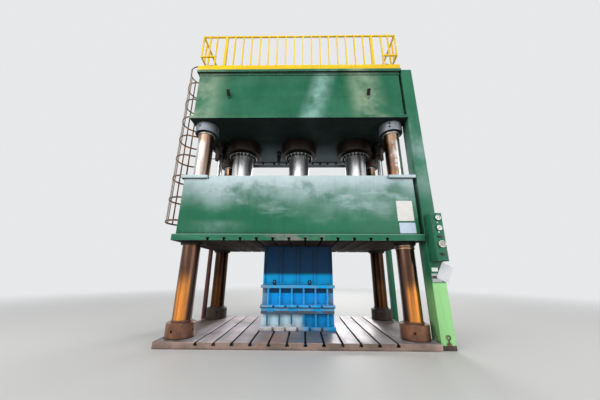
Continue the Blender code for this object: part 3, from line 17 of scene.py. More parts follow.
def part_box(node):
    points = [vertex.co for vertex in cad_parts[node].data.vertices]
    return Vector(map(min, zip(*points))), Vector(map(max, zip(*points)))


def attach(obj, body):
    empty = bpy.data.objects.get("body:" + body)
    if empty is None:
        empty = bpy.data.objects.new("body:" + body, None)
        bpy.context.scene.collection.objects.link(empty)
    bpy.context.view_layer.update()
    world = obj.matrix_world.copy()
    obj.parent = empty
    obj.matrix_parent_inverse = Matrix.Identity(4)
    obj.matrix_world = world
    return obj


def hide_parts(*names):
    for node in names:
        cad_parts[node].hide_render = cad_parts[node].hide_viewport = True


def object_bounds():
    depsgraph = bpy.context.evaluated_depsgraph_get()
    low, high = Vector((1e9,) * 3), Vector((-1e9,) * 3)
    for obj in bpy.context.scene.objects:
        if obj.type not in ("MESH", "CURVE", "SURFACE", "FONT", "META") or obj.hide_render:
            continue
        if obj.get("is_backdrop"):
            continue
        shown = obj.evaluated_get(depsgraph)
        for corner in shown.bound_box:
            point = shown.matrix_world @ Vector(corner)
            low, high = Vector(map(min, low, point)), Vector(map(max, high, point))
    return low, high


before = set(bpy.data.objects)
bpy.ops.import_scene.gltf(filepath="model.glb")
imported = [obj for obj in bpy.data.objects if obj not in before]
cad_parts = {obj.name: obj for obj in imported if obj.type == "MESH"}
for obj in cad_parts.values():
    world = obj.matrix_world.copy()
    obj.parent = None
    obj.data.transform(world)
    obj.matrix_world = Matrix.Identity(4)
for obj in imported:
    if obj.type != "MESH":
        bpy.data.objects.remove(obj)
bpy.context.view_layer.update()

# %% [markdown]
# ## Levels and places
# Nothing here is measured twice. Heights and faces are read from the boxes of the frame's own
# nodes, so a piece that is added later always meets the plate or column that carries it.

# %% Levels and places
CORNERS = ("front_left", "front_right", "rear_left", "rear_right")
BEAM_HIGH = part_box("bed_plate")[1]
HALF_X, HALF_Y, BED_TOP = BEAM_HIGH.x, BEAM_HIGH.y, BEAM_HIGH.z
FLOOR_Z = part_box("control_post")[0].z
SLIDE_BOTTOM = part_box("slide_plate")[0].z
CROWN_BOTTOM, CROWN_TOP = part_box("crown")[0].z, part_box("crown")[1].z


def middle(node):
    """The centre of a node's box."""
    low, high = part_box(node)
    return (low + high) / 2


def radius_of(node):
    """Half the width of a round upright node."""
    low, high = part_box(node)
    return (high.x - low.x) / 2


print("bed", round(BED_TOP, 3), "slide", round(SLIDE_BOTTOM, 3), "crown", round(CROWN_BOTTOM, 3))

# %% [markdown]
# ## The camera
# The press was seen from low down and close by with a very wide lens, tipped up to take in the
# rail. The matrix is built from the direction of view, so pitch, yaw and roll stay readable.

# %% Camera
CAMERA_PLACE = Vector((0.1125, -5.64, 2.69))
CAMERA_PITCH, CAMERA_YAW, CAMERA_ROLL = math.radians(17.07), math.radians(-0.82), math.radians(0.28)
CAMERA_LENS = 14.24
SENSOR_WIDTH = 36

lens = bpy.data.cameras.new("view")
lens.lens, lens.sensor_width, lens.clip_end = CAMERA_LENS, SENSOR_WIDTH, 200
camera = bpy.data.objects.new("view", lens)
bpy.context.scene.collection.objects.link(camera)
bpy.context.scene.camera = camera
ahead = Vector((math.sin(CAMERA_YAW) * math.cos(CAMERA_PITCH),
                math.cos(CAMERA_YAW) * math.cos(CAMERA_PITCH), math.sin(CAMERA_PITCH)))
level = ahead.cross(Vector((0, 0, 1))).normalized()
square = level.cross(ahead)
right = math.cos(CAMERA_ROLL) * level + math.sin(CAMERA_ROLL) * square
upward = right.cross(ahead)
camera.matrix_world = Matrix.Translation(CAMERA_PLACE) @ Matrix((right, upward, -ahead)).transposed().to_4x4()
print("camera looks along", [round(v, 3) for v in ahead])

# %% [markdown]
# ## Node helpers
# Materials below are built from nodes. A few small helpers keep them readable: one adds a node
# with its settings and inputs in a single call, one lays a colour over another by a mask, and the
# rest take a vector apart or do one step of arithmetic.

# %% Node helpers


def join(tree, socket, value):
    """Feeds a socket from another socket, or sets its own value."""
    if isinstance(value, bpy.types.NodeSocket):
        tree.links.new(value, socket)
    elif hasattr(value, "__len__") and len(value) == 3 and socket.type == "RGBA":
        socket.default_value = (*value, 1)
    else:
        socket.default_value = value


def add(tree, kind, inputs=(), **settings):
    """One shader node, with its settings and the values or sockets that feed its inputs."""
    node = tree.nodes.new("ShaderNode" + kind)
    for key, value in settings.items():
        setattr(node, key, value)
    for key, value in dict(inputs).items():
        join(tree, node.inputs[key], value)
    return node


def over(tree, below, mask, colour):
    """Lays a colour over what is below it, as far as the mask says."""
    return add(tree, "Mix", {0: mask, 6: below, 7: colour}, data_type="RGBA").outputs[2]


def times(tree, a, b, operation="MULTIPLY"):
    """Two values combined by one product, sum or other step that is clamped from 0 to 1."""
    return add(tree, "Math", {0: a, 1: b}, operation=operation, use_clamp=True).outputs[0]


def step(tree, operation, *values):
    """One step of arithmetic that is not clamped."""
    return add(tree, "Math", dict(enumerate(values)), operation=operation).outputs[0]


def part_of(tree, vector, axis):
    """One of the three parts of a vector."""
    return add(tree, "SeparateXYZ", {0: vector}).outputs[axis]


def spread(tree, value, low, high, to_low=0.0, to_high=1.0):
    """A value's stretch from low to high, spread over another range."""
    inputs = {"Value": value, "From Min": low, "From Max": high, "To Min": to_low, "To Max": to_high}
    return add(tree, "MapRange", inputs, interpolation_type="SMOOTHSTEP").outputs[0]


print("node helpers ready")

# %% [markdown]
# ## Groups that give a mask
# Wear is a pattern that several finishes share, so each kind of wear is a node group. It takes
# the place on the object and a few named values, and gives one mask from 0 to 1. The colour is
# chosen outside it, which lets the same runs be rust on one piece and oil on another.

# %% Group helpers


def new_mask(name, **values):
    """An empty node group that gives one mask for a place, with its named values."""
    group = bpy.data.node_groups.new(name, "ShaderNodeTree")
    group.interface.new_socket("Place", in_out="INPUT", socket_type="NodeSocketVector")
    for label, value in values.items():
        group.interface.new_socket(label, in_out="INPUT", socket_type="NodeSocketFloat").default_value = value
    group.interface.new_socket("Mask", in_out="OUTPUT", socket_type="NodeSocketFloat")
    return group, group.nodes.new("NodeGroupInput").outputs, group.nodes.new("NodeGroupOutput").inputs["Mask"]


def use(tree, group, **inputs):
    """One use of a node group in a material, with its own values."""
    node = tree.nodes.new("ShaderNodeGroup")
    node.node_tree = group
    for key, value in inputs.items():
        join(tree, node.inputs[key], value)
    return node.outputs


def noise_at(tree, place, scale, detail, **inputs):
    """Noise of one scale at a place."""
    return add(tree, "TexNoise", {"Vector": place, "Scale": scale, "Detail": detail, **inputs}).outputs[0]


print("group helpers ready")

# %% [markdown]
# ## Wear that follows the shape
# Two effects tell an eye how big and how old a machine is: paint rubbed off the outer edges, and
# dirt held in the inner corners, which also darkens them as painted shade. The Bevel node bends the
# normal near an edge, so the angle between it and the true normal finds edges of any mesh. Ambient
# Occlusion finds the corners.

# %% Wear groups
worn_edge, given, mask = new_mask("worn_edge", Radius=0.012, Grain=30.0)
bent = add(worn_edge, "Bevel", {"Radius": given["Radius"]}, samples=4)
true_normal = add(worn_edge, "NewGeometry").outputs["Normal"]
alike = add(worn_edge, "VectorMath", {0: bent.outputs[0], 1: true_normal}, operation="DOT_PRODUCT")
edge = spread(worn_edge, alike.outputs["Value"], 0.985, 0.86)
flake = spread(worn_edge, noise_at(worn_edge, given["Place"], given["Grain"], 4.0), 0.42, 0.62)
join(worn_edge, mask, times(worn_edge, edge, flake))

# Corners found by Ambient Occlusion get dirt and painted shade alike.
corner_dirt_and_shade, given, mask = new_mask("corner_dirt_and_shade", Reach=0.12)
shade = add(corner_dirt_and_shade, "AmbientOcclusion", {"Distance": given["Reach"]}, samples=6)
settled = spread(corner_dirt_and_shade, shade.outputs["AO"], 0.92, 0.35)
speckle = spread(corner_dirt_and_shade, noise_at(corner_dirt_and_shade, given["Place"], 9.0, 5.0), 0.2, 0.6)
join(corner_dirt_and_shade, mask, times(corner_dirt_and_shade, settled, speckle))
print("wear groups", len(bpy.data.node_groups))

# %% [markdown]
# ## Wear that follows gravity
# Oil and rust run straight down, so their pattern is noise squeezed across and stretched along Z.
# A ragged level is a height that noise shifts: the line where a film of oil or dust starts, and
# also the edge of a painted reflection and of a painted shadow.

# %% Gravity groups
drips, given, mask = new_mask("drips", Across=14.0, Along=0.9)
stretch = add(drips, "CombineXYZ", {0: given["Across"], 1: given["Across"], 2: given["Along"]})
pulled = add(drips, "VectorMath", {0: given["Place"], 1: stretch.outputs[0]}, operation="MULTIPLY")
join(drips, mask, spread(drips, noise_at(drips, pulled.outputs[0], 1.0, 5.0, Roughness=0.6), 0.5, 0.72))

ragged_level, given, mask = new_mask("ragged_level", Low=0.0, High=1.0, Swing=0.2, Scale=1.5)
swing = step(ragged_level, "SUBTRACT", noise_at(ragged_level, given["Place"], given["Scale"], 6.0), 0.5)
height = part_of(ragged_level, given["Place"], 2)
lift = step(ragged_level, "MULTIPLY_ADD", swing, given["Swing"], height)
join(ragged_level, mask, spread(ragged_level, lift, given["Low"], given["High"]))

patches, given, mask = new_mask("patches", Scale=2.0, Low=0.4, High=0.65)
cloud = noise_at(patches, given["Place"], given["Scale"], 7.0, Roughness=0.6)
join(patches, mask, spread(patches, cloud, given["Low"], given["High"]))
print("node groups", len(bpy.data.node_groups))

# %% [markdown]
# ## Masks that place a layer
# No coat on an old machine has one colour. Each further colour is a layer: a colour, and a mask
# that says where it lies. A mask here is a function that adds a few nodes to a material, so the
# same words serve every finish, in metres of the press itself.

# %% Layer masks


def masked_by(group, amount, **values):
    """One node group with its own values, made weaker by an amount."""
    return lambda tree, place: times(tree, use(tree, group, Place=place, **values)["Mask"], amount)


def cloudy(amount, scale=2.0, low=0.40, high=0.65):
    """Clouds of noise, fewer where low and high are larger."""
    return masked_by(patches, amount, Scale=scale, Low=low, High=high)


def streaks(amount, across=14.0, along=0.9):
    """Runs that go straight down."""
    return masked_by(drips, amount, Across=across, Along=along)


def ragged(amount, low, high, swing, scale=1.5):
    """What lies past a ragged height. With high below low, what lies under it."""
    return masked_by(ragged_level, amount, Low=low, High=high, Swing=swing, Scale=scale)


print("pattern masks ready")

# %% [markdown]
# ## Masks by place
# The other masks ask where a point lies or which way its surface looks: a side, a stretch along
# an axis, a soft patch. Several can be made to meet, and a list of layers is laid in its order.

# %% Masks by place
X, Y, Z = 0, 1, 2
LEAN_LEVEL = 6.55


def facing(axis, sign, amount=1.0):
    """Where the surface faces along one axis."""
    def mask(tree, place):
        normal = add(tree, "TexCoord").outputs["Normal"]
        return times(tree, spread(tree, part_of(tree, normal, axis), 0.5 * sign, 0.9 * sign), amount)
    return mask


def between(axis, low, high, soft, amount=1.0):
    """A stretch along one axis whose two ends fade over a soft width."""
    def mask(tree, place):
        part = part_of(tree, place, axis)
        after = spread(tree, part, low - soft, low + soft)
        before = spread(tree, part, high + soft, high - soft)
        return times(tree, times(tree, after, before), amount)
    return mask


def where(*masks):
    """Only where all of several masks meet."""
    def mask(tree, place):
        met = masks[0](tree, place)
        for other in masks[1:]:
            met = times(tree, met, other(tree, place))
        return met
    return mask


def patch_at(axis, centre, width, amount, lean=0.0):
    """A soft patch about one place along an axis, broken up by noise. A patch may
    lean: its centre then moves along the axis as the height above the crown's middle grows."""
    def mask(tree, place):
        tilt = step(tree, "SUBTRACT", part_of(tree, place, Z), LEAN_LEVEL)
        part = step(tree, "MULTIPLY_ADD", tilt, -lean, part_of(tree, place, axis))
        off = step(tree, "ABSOLUTE", step(tree, "SUBTRACT", part, centre))
        noise = cloudy(1.0, 1.9, 0.26, 0.70)(tree, place)
        return times(tree, times(tree, spread(tree, off, width, 0.0), noise), amount)
    return mask


def layered(tree, place, colour, layers):
    """A colour with layers laid over it, one after the other."""
    for mask_of, layer_colour in layers:
        colour = over(tree, colour, mask_of(tree, place), layer_colour)
    return colour


UNDER, FRONT, LEFT = facing(Z, -1), facing(Y, -1), facing(X, -1)
print("masks by place ready")

# %% [markdown]
# ## Paint
# Machine enamel is thick and glossy, a little wavy from the brush, and never one colour: it
# fades in clouds, holds dirt in its corners, darkens there as painted shade, and shows primer or
# steel where it is knocked. One function makes every paint here, and takes extra layers for what
# only one piece has.

# %% Paint
DIRT_AND_SHADE, BARE = (0.018, 0.016, 0.013), (0.33, 0.31, 0.29)
PAINT_ROUGH, PAINT_GLOSS, UNWIPED = 0.34, 0.15, 0.4


def begin(name, roughness, metallic=0.0, coat=0.0):
    """A new material, its tree, its shader and the place on the object that patterns read."""
    material = bpy.data.materials.new(name)
    material.use_nodes = True
    tree = material.node_tree
    shader = tree.nodes["Principled BSDF"]
    shader.inputs["Roughness"].default_value = roughness
    shader.inputs["Metallic"].default_value = metallic
    shader.inputs["Coat Weight"].default_value = coat
    shader.inputs["Coat Roughness"].default_value = 0.2
    return material, tree, shader, add(tree, "TexCoord").outputs["Object"]


def waviness(tree, shader, place, scale, strength, distance):
    """A fine unevenness of the surface, as bump."""
    noise = noise_at(tree, place, scale, 3.0)
    bump = add(tree, "Bump", {"Height": noise, "Strength": strength, "Distance": distance})
    tree.links.new(bump.outputs[0], shader.inputs["Normal"])


def enamel(name, colour, faded, layers=(), coat=0.1, dirt_and_shade=0.75, worn=0.8, chip=BARE):
    """Glossy machine paint: clouds of fading, corner dirt that is also painted shade, runs, and chips
    along the edges. Faces that look down are never wiped, so there the gloss is gone."""
    material, tree, shader, place = begin(name, PAINT_ROUGH, coat=coat)
    shader.inputs["Specular IOR Level"].default_value = PAINT_GLOSS
    # The corner layer is dirt and painted shade; the runs are dirt.
    age = [(masked_by(corner_dirt_and_shade, dirt_and_shade), DIRT_AND_SHADE), (streaks(0.12), DIRT_AND_SHADE), (masked_by(worn_edge, worn), chip)]
    tone = layered(tree, place, colour, [(cloudy(1.0, 0.9, 0.3, 0.75), faded), *layers, *age])
    join(tree, shader.inputs["Base Color"], tone)
    below = UNDER(tree, place)
    dull = spread(tree, cloudy(1.0, 3.0, 0.3, 0.7)(tree, place), 0.0, 1.0, PAINT_ROUGH, PAINT_ROUGH + 0.15)
    join(tree, shader.inputs["Roughness"], times(tree, dull, times(tree, below, UNWIPED), "ADD"))
    join(tree, shader.inputs["Coat Weight"], spread(tree, below, 0.0, 1.0, coat, 0.0))
    waviness(tree, shader, place, 2.2, 0.25, 0.02)
    return material


print("paint ready")

# %% [markdown]
# ## Green and yellow paint
# The beams share one green. The slide carries a painted reflection of pale sky towards its top,
# the crown three painted glare patches and painted light on the rear of its underside, and the
# slide plate a painted highlight along its top edge, with some wear there; the plate is scraped
# where dies are bolted on. The control post is painted a lighter green up to its panel as
# sunlight, with a painted reflection higher up. Their undersides see no light, and are painted
# near-black as shade, as are the walls of the plate's slots. Each of these is one line in a list.

# %% Green and yellow paint
GREEN, GREEN_FADED = (0.017, 0.142, 0.075), (0.030, 0.185, 0.104)
CROWN_GREEN, CROWN_FADED = (0.0, 0.100, 0.044), (0.026, 0.165, 0.092)
MINT_HIGHLIGHT, OLIVE_GLARE, SKY_REFLECTION = (0.30, 0.52, 0.47), (0.34, 0.45, 0.31), (0.56, 0.68, 0.72)
SHADE_GREEN, REAR_UNDERSIDE_LIGHT = (0.003, 0.007, 0.007), (0.150, 0.178, 0.190)
SCRAPED, UNDERSIDE_SHADE_BROWN = (0.26, 0.23, 0.20), (0.026, 0.011, 0.007)
SUNLIT_GREEN, SUNLIT_SIDE, FOOT_MUD = (0.36, 0.74, 0.30), (0.22, 0.46, 0.18), (0.11, 0.085, 0.07)
RAIL_YELLOW, RAIL_FADED, RAIL_CHIP = (0.92, 0.62, 0.004), (0.84, 0.52, 0.008), (0.30, 0.12, 0.03)
# Undersides painted near-black green as shade.
SHADE_BELOW = (facing(Z, -1, 0.97), SHADE_GREEN)

# The crown's three mint patches are painted glare on its front.
crown_paint = enamel("crown_enamel", CROWN_GREEN, CROWN_FADED, [
    (patch_at(X, -2.30, 0.80, 0.90), OLIVE_GLARE),
    (patch_at(X, 0.46, 0.36, 0.95, lean=0.28), MINT_HIGHLIGHT),
    (patch_at(X, 1.52, 0.52, 0.95, lean=-0.10), OLIVE_GLARE),
    SHADE_BELOW,
    # Painted light on the rear of the crown's underside, over its painted shade.
    (where(UNDER, between(Y, 0.15, 2.0, 0.45, 0.85), between(X, -1.25, 1.25, 0.30)), REAR_UNDERSIDE_LIGHT)])
# The slide's pale mint towards its top is a painted reflection of the sky.
slide_paint = enamel("slide_enamel", GREEN, GREEN_FADED, [
    (ragged(0.75, 3.75, 4.70, 1.6, 0.9), SKY_REFLECTION),
    (where(ragged(1.0, 3.50, 4.20, 0.8), streaks(0.55, 1.5, 4.0)), SKY_REFLECTION),
    (ragged(0.70, 4.15, 4.60, 1.0, 1.6), SKY_REFLECTION),
    (where(between(Z, 3.95, 4.45, 0.10), cloudy(0.60, 2.2, 0.48, 0.66)), GREEN),
    (where(between(Z, 3.80, 4.30, 0.20), patch_at(X, 1.62, 0.42, 0.45)), SKY_REFLECTION),
    (where(between(Z, 3.42, 3.62, 0.06), patch_at(X, -1.55, 0.75, 0.28)), SKY_REFLECTION),
    SHADE_BELOW])
green_paint = enamel("green_enamel", GREEN, GREEN_FADED, [SHADE_BELOW])
# The slots' side walls are painted black-green as shade.
slot_shade_sides = [(where(facing(X, side), between(X, -2.3, 2.3, 0.01)), SHADE_GREEN) for side in (1, -1)]
# The mint along the plate's top edge is a painted highlight with some wear, and its black underside painted
# shade.
plate_paint = enamel("plate_enamel", GREEN, GREEN_FADED, [
    (between(Z, 3.366, 3.40, 0.004, 0.55), MINT_HIGHLIGHT),
    (where(between(X, -0.75, 0.50, 0.12), cloudy(0.75, 3.5, 0.42, 0.60)), SCRAPED),
    (facing(Z, -1, 0.97), UNDERSIDE_SHADE_BROWN), *slot_shade_sides])
# The post's mint patch high up is a painted reflection, and its light green below the panel, on the front and
# the left side, is painted sunlight; its top edge under the panel is a painted shadow.
post_paint = enamel("post_enamel", GREEN, GREEN_FADED, [
    (patch_at(Z, 4.95, 1.25, 0.45), SKY_REFLECTION),
    (where(LEFT, between(Z, 0.0, 2.50, 0.22, 0.92)), SUNLIT_SIDE),
    (where(FRONT, between(Z, 1.0, 2.535, 0.022)), SUNLIT_GREEN),
    (between(Z, 1.0, 1.570, 0.006), FOOT_MUD)])
yellow_paint = enamel("rail_enamel", RAIL_YELLOW, RAIL_FADED, dirt_and_shade=0.35, worn=0.35, coat=0.2, chip=RAIL_CHIP)
print("paints", len(bpy.data.materials))

# %% [markdown]
# ## Blue paint
# The dies are painted a strong blue. It is scuffed where they are handled, dusty at the lower die's
# foot, and bare along the faces that close on each other. The lower die's left panels are painted
# pale as sunlight, with painted shade on the ribs between them, and a dark band low on the upper
# die is a painted shadow. The spacer above them is painted dark where the slide keeps the light off
# it.

# %% Blue paint
BLUE, BLUE_FADED, NAVY = (0.0, 0.42, 0.95), (0.0, 0.47, 0.98), (0.0, 0.048, 0.125)
DEEP_BLUE, SPACER_BLUE, RIB_SHADE_NAVY = (0.0, 0.30, 0.64), (0.0, 0.56, 1.0), (0.0, 0.09, 0.17)
SUNLIT_PALE_BLUE, PINK_DUST, GREY_DUST = (0.66, 0.89, 1.0), (0.96, 0.86, 0.80), (0.36, 0.33, 0.32)
POCKET_SHADE, SCUFFED, BARE_BROWN = (0.0, 0.045, 0.100), (0.22, 0.38, 0.50), (0.085, 0.080, 0.082)
LEFT_RUB, RIGHT_RUB, SEAM_SHADOW = (0.30, 0.33, 0.36), (0.24, 0.26, 0.28), (0.02, 0.03, 0.05)
BLUE_CHIP = (0.55, 0.62, 0.68)
SUNLIT_SPAN = between(X, -1.0, 0.10, 0.04)

# The dark band at the upper die's foot is a painted shadow.
die_paint = enamel("die_enamel", BLUE, BLUE_FADED, [
    (where(FRONT, between(Z, 2.285, 2.399, 0.006), between(Y, -0.44, -0.30, 0.004, 0.9)), POCKET_SHADE),
    (where(between(Y, -0.50, -0.452, 0.003), cloudy(0.55, 6.0, 0.42, 0.60)), SCUFFED),
    (where(between(X, -1.0, -0.62, 0.04), cloudy(0.7, 5.0, 0.36, 0.60)), LEFT_RUB),
    (where(between(X, 0.62, 1.0, 0.04), cloudy(0.7, 5.0, 0.36, 0.60)), RIGHT_RUB),
    (between(Z, 2.000, 2.030, 0.006, 0.85), SEAM_SHADOW)], dirt_and_shade=0.45, worn=0.9, chip=BLUE_CHIP)
spacer_paint = enamel("spacer_enamel", SPACER_BLUE, BLUE_FADED, [
    (ragged(1.0, 2.61, 2.70, 0.03), NAVY)], dirt_and_shade=0.5, worn=0.3)
# Pale blue on the lower die's left panels is painted sunlight.
lower_die_paint = enamel("lower_die_enamel", DEEP_BLUE, BLUE, [
    (where(SUNLIT_SPAN, between(Z, 1.0, 1.90, 0.02), between(Y, -0.432, 0.7, 0.004),
           cloudy(1.0, 1.8, 0.10, 0.36)), SUNLIT_PALE_BLUE),
    # Painted shade on the ribs between the sunlit panels.
    (where(SUNLIT_SPAN, between(Z, 1.68, 1.88, 0.006, 0.9), between(Y, -0.60, -0.437, 0.003)), RIB_SHADE_NAVY),
    (where(between(Z, 1.885, 1.962, 0.004), cloudy(0.9, 4.0, 0.25, 0.50)), BARE_BROWN),
    (where(between(Z, 1.962, 2.02, 0.004), cloudy(0.6, 4.0, 0.40, 0.60)), SCUFFED),
    (where(between(X, -1.0, 0.05, 0.25), ragged(0.85, 1.72, 1.64, 0.1)), PINK_DUST),
    (where(between(Z, 1.0, 1.66, 0.01), cloudy(0.7, 5.0)), GREY_DUST)], dirt_and_shade=0.45)
print("paints", len(bpy.data.materials))

# %% [markdown]
# ## Bare metal
# Worked steel shows the way it was cut: fine lines round a turned piece, along a planed one. They
# are noise stretched along the cut, and the same noise drives roughness and a slight bump, so
# that reflections break up as they do on the real surface.

# %% Bare metal


def metal(name, colour, layers=(), roughness=0.3, metallic=1.0, grain=(60.0, 60.0, 4.0), bump=0.15, coat=0.0,
          rough_swing=0.15, dirt_and_shade=0.8, black_below=False):
    """Worked steel: a colour with layers over it, and fine lines along the way it was cut."""
    material, tree, shader, place = begin(name, roughness, metallic, coat)
    dim = (cloudy(1.0, 2.5, 0.35, 0.7), tuple(0.72 * c for c in colour))
    # Corner dirt here is also painted shade in hollows.
    tone = layered(tree, place, colour, [dim, *layers, (masked_by(corner_dirt_and_shade, dirt_and_shade, Reach=0.05), DIRT_AND_SHADE)])
    join(tree, shader.inputs["Base Color"], tone)
    lines = add(tree, "VectorMath", {0: place, 1: grain}, operation="MULTIPLY").outputs[0]
    noise = noise_at(tree, lines, 1.0, 4.0)
    rough = spread(tree, noise, 0.3, 0.7, roughness, roughness + rough_swing)
    if black_below:
        below = UNDER(tree, place)
        join(tree, shader.inputs["Metallic"], spread(tree, below, 0.0, 1.0, metallic, 0.0))
        rough = times(tree, rough, below, "ADD")
    join(tree, shader.inputs["Roughness"], rough)
    cut = add(tree, "Bump", {"Height": noise, "Strength": bump, "Distance": 0.002})
    tree.links.new(cut.outputs[0], shader.inputs["Normal"])
    return material


print("metal ready")

# %% [markdown]
# ## Columns and rams
# The columns are ground steel. Above the slide they stay bright, with brown streaks where oil has
# dried; below it they wear a thick amber film of old oil. The same bar therefore needs two
# finishes that meet at the slide, which a ragged level gives without cutting the column. A painted
# highlight in bright amber lies lower down on each column's front and rear strips. The sides that
# face the middle of the press are painted oil-brown and dark as shade, and the rear pair is
# painted nearly black as shade.

# %% Columns and rams
RUST, AMBER_HIGHLIGHT, AMBER_DARK = (0.16, 0.065, 0.022), (0.98, 0.36, 0.08), (0.120, 0.064, 0.044)
SIDE_SHADE_BROWN, SIDE_SHADE_DARK, OIL_RUN = (0.19, 0.125, 0.085), (0.065, 0.042, 0.030), (0.035, 0.020, 0.014)
REAR_SHADE_BLACK, TOP_BROWN, RAM_STREAK = (0.022, 0.010, 0.006), (0.30, 0.18, 0.11), (0.40, 0.33, 0.28)


def inward_shade(tree, place):
    """The side of an upright bar that faces the middle of the press, which is painted darker as shade."""
    normal = part_of(tree, add(tree, "TexCoord").outputs["Normal"], X)
    return spread(tree, step(tree, "MULTIPLY", normal, part_of(tree, place, X)), 0.35, -1.3)


def front_highlight_strip(tree, place):
    """The front and rear strips of a column, where a painted highlight lies."""
    normal = part_of(tree, add(tree, "TexCoord").outputs["Normal"], Y)
    return spread(tree, step(tree, "ABSOLUTE", normal), 0.62, 0.98)


RIGHT_PAIR, REAR_PAIR = between(X, 1.0, 3.0, 0.1), between(Y, 0.5, 2.0, 0.05, 0.93)
# Oil-brown and dark on the inward sides is painted shade; bright amber on the front strips is a painted
# highlight.
column_steel = metal("column_steel", (0.74, 0.72, 0.70), [
    (where(inward_shade, cloudy(0.95, 2.4, 0.12, 0.40)), SIDE_SHADE_BROWN),
    (where(inward_shade, RIGHT_PAIR, cloudy(0.9, 3.0, 0.28, 0.50)), SIDE_SHADE_DARK),
    (streaks(0.85, 9.0, 0.35), RUST),
    (where(between(X, 1.0, 2.10, 0.04), cloudy(0.8, 7.0, 0.46, 0.56)), RUST),
    (ragged(1.0, 3.45, 3.25, 0.1), AMBER_DARK),
    (where(front_highlight_strip, ragged(0.95, 2.78, 2.26, 0.4, 3.0)), AMBER_HIGHLIGHT),
    (where(RIGHT_PAIR, between(Z, 2.48, 3.60, 0.13, 0.85)), AMBER_DARK),
    # The rear pair is painted near-black as shade.
    (where(REAR_PAIR, between(Z, 1.0, 5.6, 0.1)), REAR_SHADE_BLACK),
    (where(between(Z, 5.44, 6.0, 0.07), cloudy(0.85, 5.0, 0.15, 0.50)), TOP_BROWN),
    (streaks(0.5, 16.0, 0.5), OIL_RUN)], roughness=0.2, grain=(30.0, 30.0, 1.2))
ram_chrome = metal("ram_chrome", (0.86, 0.87, 0.88), [(streaks(0.28, 6.0, 0.12), RAM_STREAK)],
                   roughness=0.26, grain=(40.0, 40.0, 0.6), bump=0.0, rough_swing=0.06, dirt_and_shade=0.15)
print("finishes so far", len(bpy.data.materials))

# %% [markdown]
# ## Nuts, barrels, bed and ironwork
# The rest of the steel is darker and duller. The barrels, nuts and bushes are black or brown with
# oil, and the ladder is rough with rust. The bed is planed and worn into brown patches by the work
# that lies on it, with painted blue reflections, a painted highlight on its left, a painted shadow
# of the die in its middle and painted shade in its slots. The rear nuts take a copy of the nut finish
# painted near-black as shade, and the grey nuts are painted black below as shade.

# %% Nuts, barrels, bed and ironwork
OIL_STEEL, UNDERSIDE_SHADE_BLACK, GLAND_FACE = (0.024, 0.016, 0.011), (0.004, 0.004, 0.005), (0.62, 0.62, 0.61)
TURNED_ROUND, WORN_OFF = (4.0, 4.0, 60.0), cloudy(0.7, 7.0)
barrel_steel = metal("barrel_steel", OIL_STEEL, roughness=0.38, metallic=0.7)
nut_brown = metal("nut_brown", (0.30, 0.125, 0.060), [(WORN_OFF, (0.10, 0.045, 0.026))],
                  roughness=0.32, metallic=0.45, coat=0.3)
# A copy of the nut finish, painted near-black as shade, for the rear nuts.
nut_in_shade = metal("nut_in_shade", (0.045, 0.026, 0.017), [(WORN_OFF, (0.02, 0.014, 0.011))],
                 roughness=0.4, metallic=0.35)
# The grey nuts are painted near-black on their undersides as shade.
nut_grey = metal("nut_grey", (0.23, 0.25, 0.28), [(UNDER, UNDERSIDE_SHADE_BLACK)],
                 roughness=0.42, metallic=0.8, grain=(4.0, 4.0, 90.0), black_below=True)
bush_black = metal("bush_black", (0.020, 0.018, 0.016), roughness=0.5, metallic=0.5)
gland_steel = metal("gland_steel", OIL_STEEL, [(UNDER, GLAND_FACE)], roughness=0.24, grain=TURNED_ROUND)
bolt_black = metal("bolt_black", (0.022, 0.021, 0.020), roughness=0.42, metallic=0.7)
bolt_bright = metal("bolt_bright", (0.55, 0.54, 0.52), roughness=0.35)
BED_PINK, BED_BROWN, BED_BLUE_REFLECTION = (0.42, 0.33, 0.31), (0.13, 0.085, 0.065), (0.52, 0.53, 0.60)
BED_HIGHLIGHT, BED_DIE_SHADOW, BED_RUST = (0.92, 0.78, 0.80), (0.15, 0.115, 0.115), (0.86, 0.42, 0.28)
SLOT_SHADE_BLACK, EDGE_BROWN, EDGE_TAN = (0.012, 0.009, 0.008), (0.20, 0.145, 0.12), (0.38, 0.27, 0.22)
# Blue clouds are painted reflections, the pale patch on the left a painted highlight, the dark middle patch a
# painted shadow of the die, and black below the top painted shade in the slots.
bed_steel = metal("bed_steel", (0.40, 0.37, 0.38), [
    (cloudy(0.8, 0.8, 0.42, 0.6), BED_BLUE_REFLECTION),
    (cloudy(0.8, 1.7, 0.5, 0.7), BED_PINK),
    (patch_at(X, 2.3, 1.1, 0.90), BED_BROWN),
    (patch_at(X, -1.35, 1.00, 0.90), BED_HIGHLIGHT),
    (patch_at(X, 0.50, 0.80, 0.85), BED_DIE_SHADOW),
    (where(between(Y, -2.0, -0.70, 0.15), between(X, -0.58, -0.14, 0.16, 0.60)), BED_RUST),
    (where(between(X, -2.4, -1.90, 0.10), cloudy(0.95, 1.6, 0.25, 0.5)), BED_BROWN),
    (between(Z, 1.0, 1.586, 0.005, 0.96), SLOT_SHADE_BLACK),
    (FRONT, EDGE_BROWN),
    (where(FRONT, cloudy(0.9, 2.2, 0.35, 0.6)), EDGE_TAN)],
    roughness=0.36, metallic=0.55, grain=(120.0, 3.0, 120.0), bump=0.3)
rusty_iron = metal("rusty_iron", (0.16, 0.095, 0.055), [
    (cloudy(0.8, 9.0), (0.06, 0.042, 0.032)),
    (cloudy(0.7, 2.2, 0.52, 0.62), (0.42, 0.19, 0.05))], roughness=0.65, metallic=0.2, bump=0.4)
riser_red = metal("riser_red", (0.11, 0.030, 0.030), roughness=0.45, metallic=0.0)
case_chrome = metal("case_chrome", (0.78, 0.79, 0.80), roughness=0.14, bump=0.02)
print("finishes so far", len(bpy.data.materials))

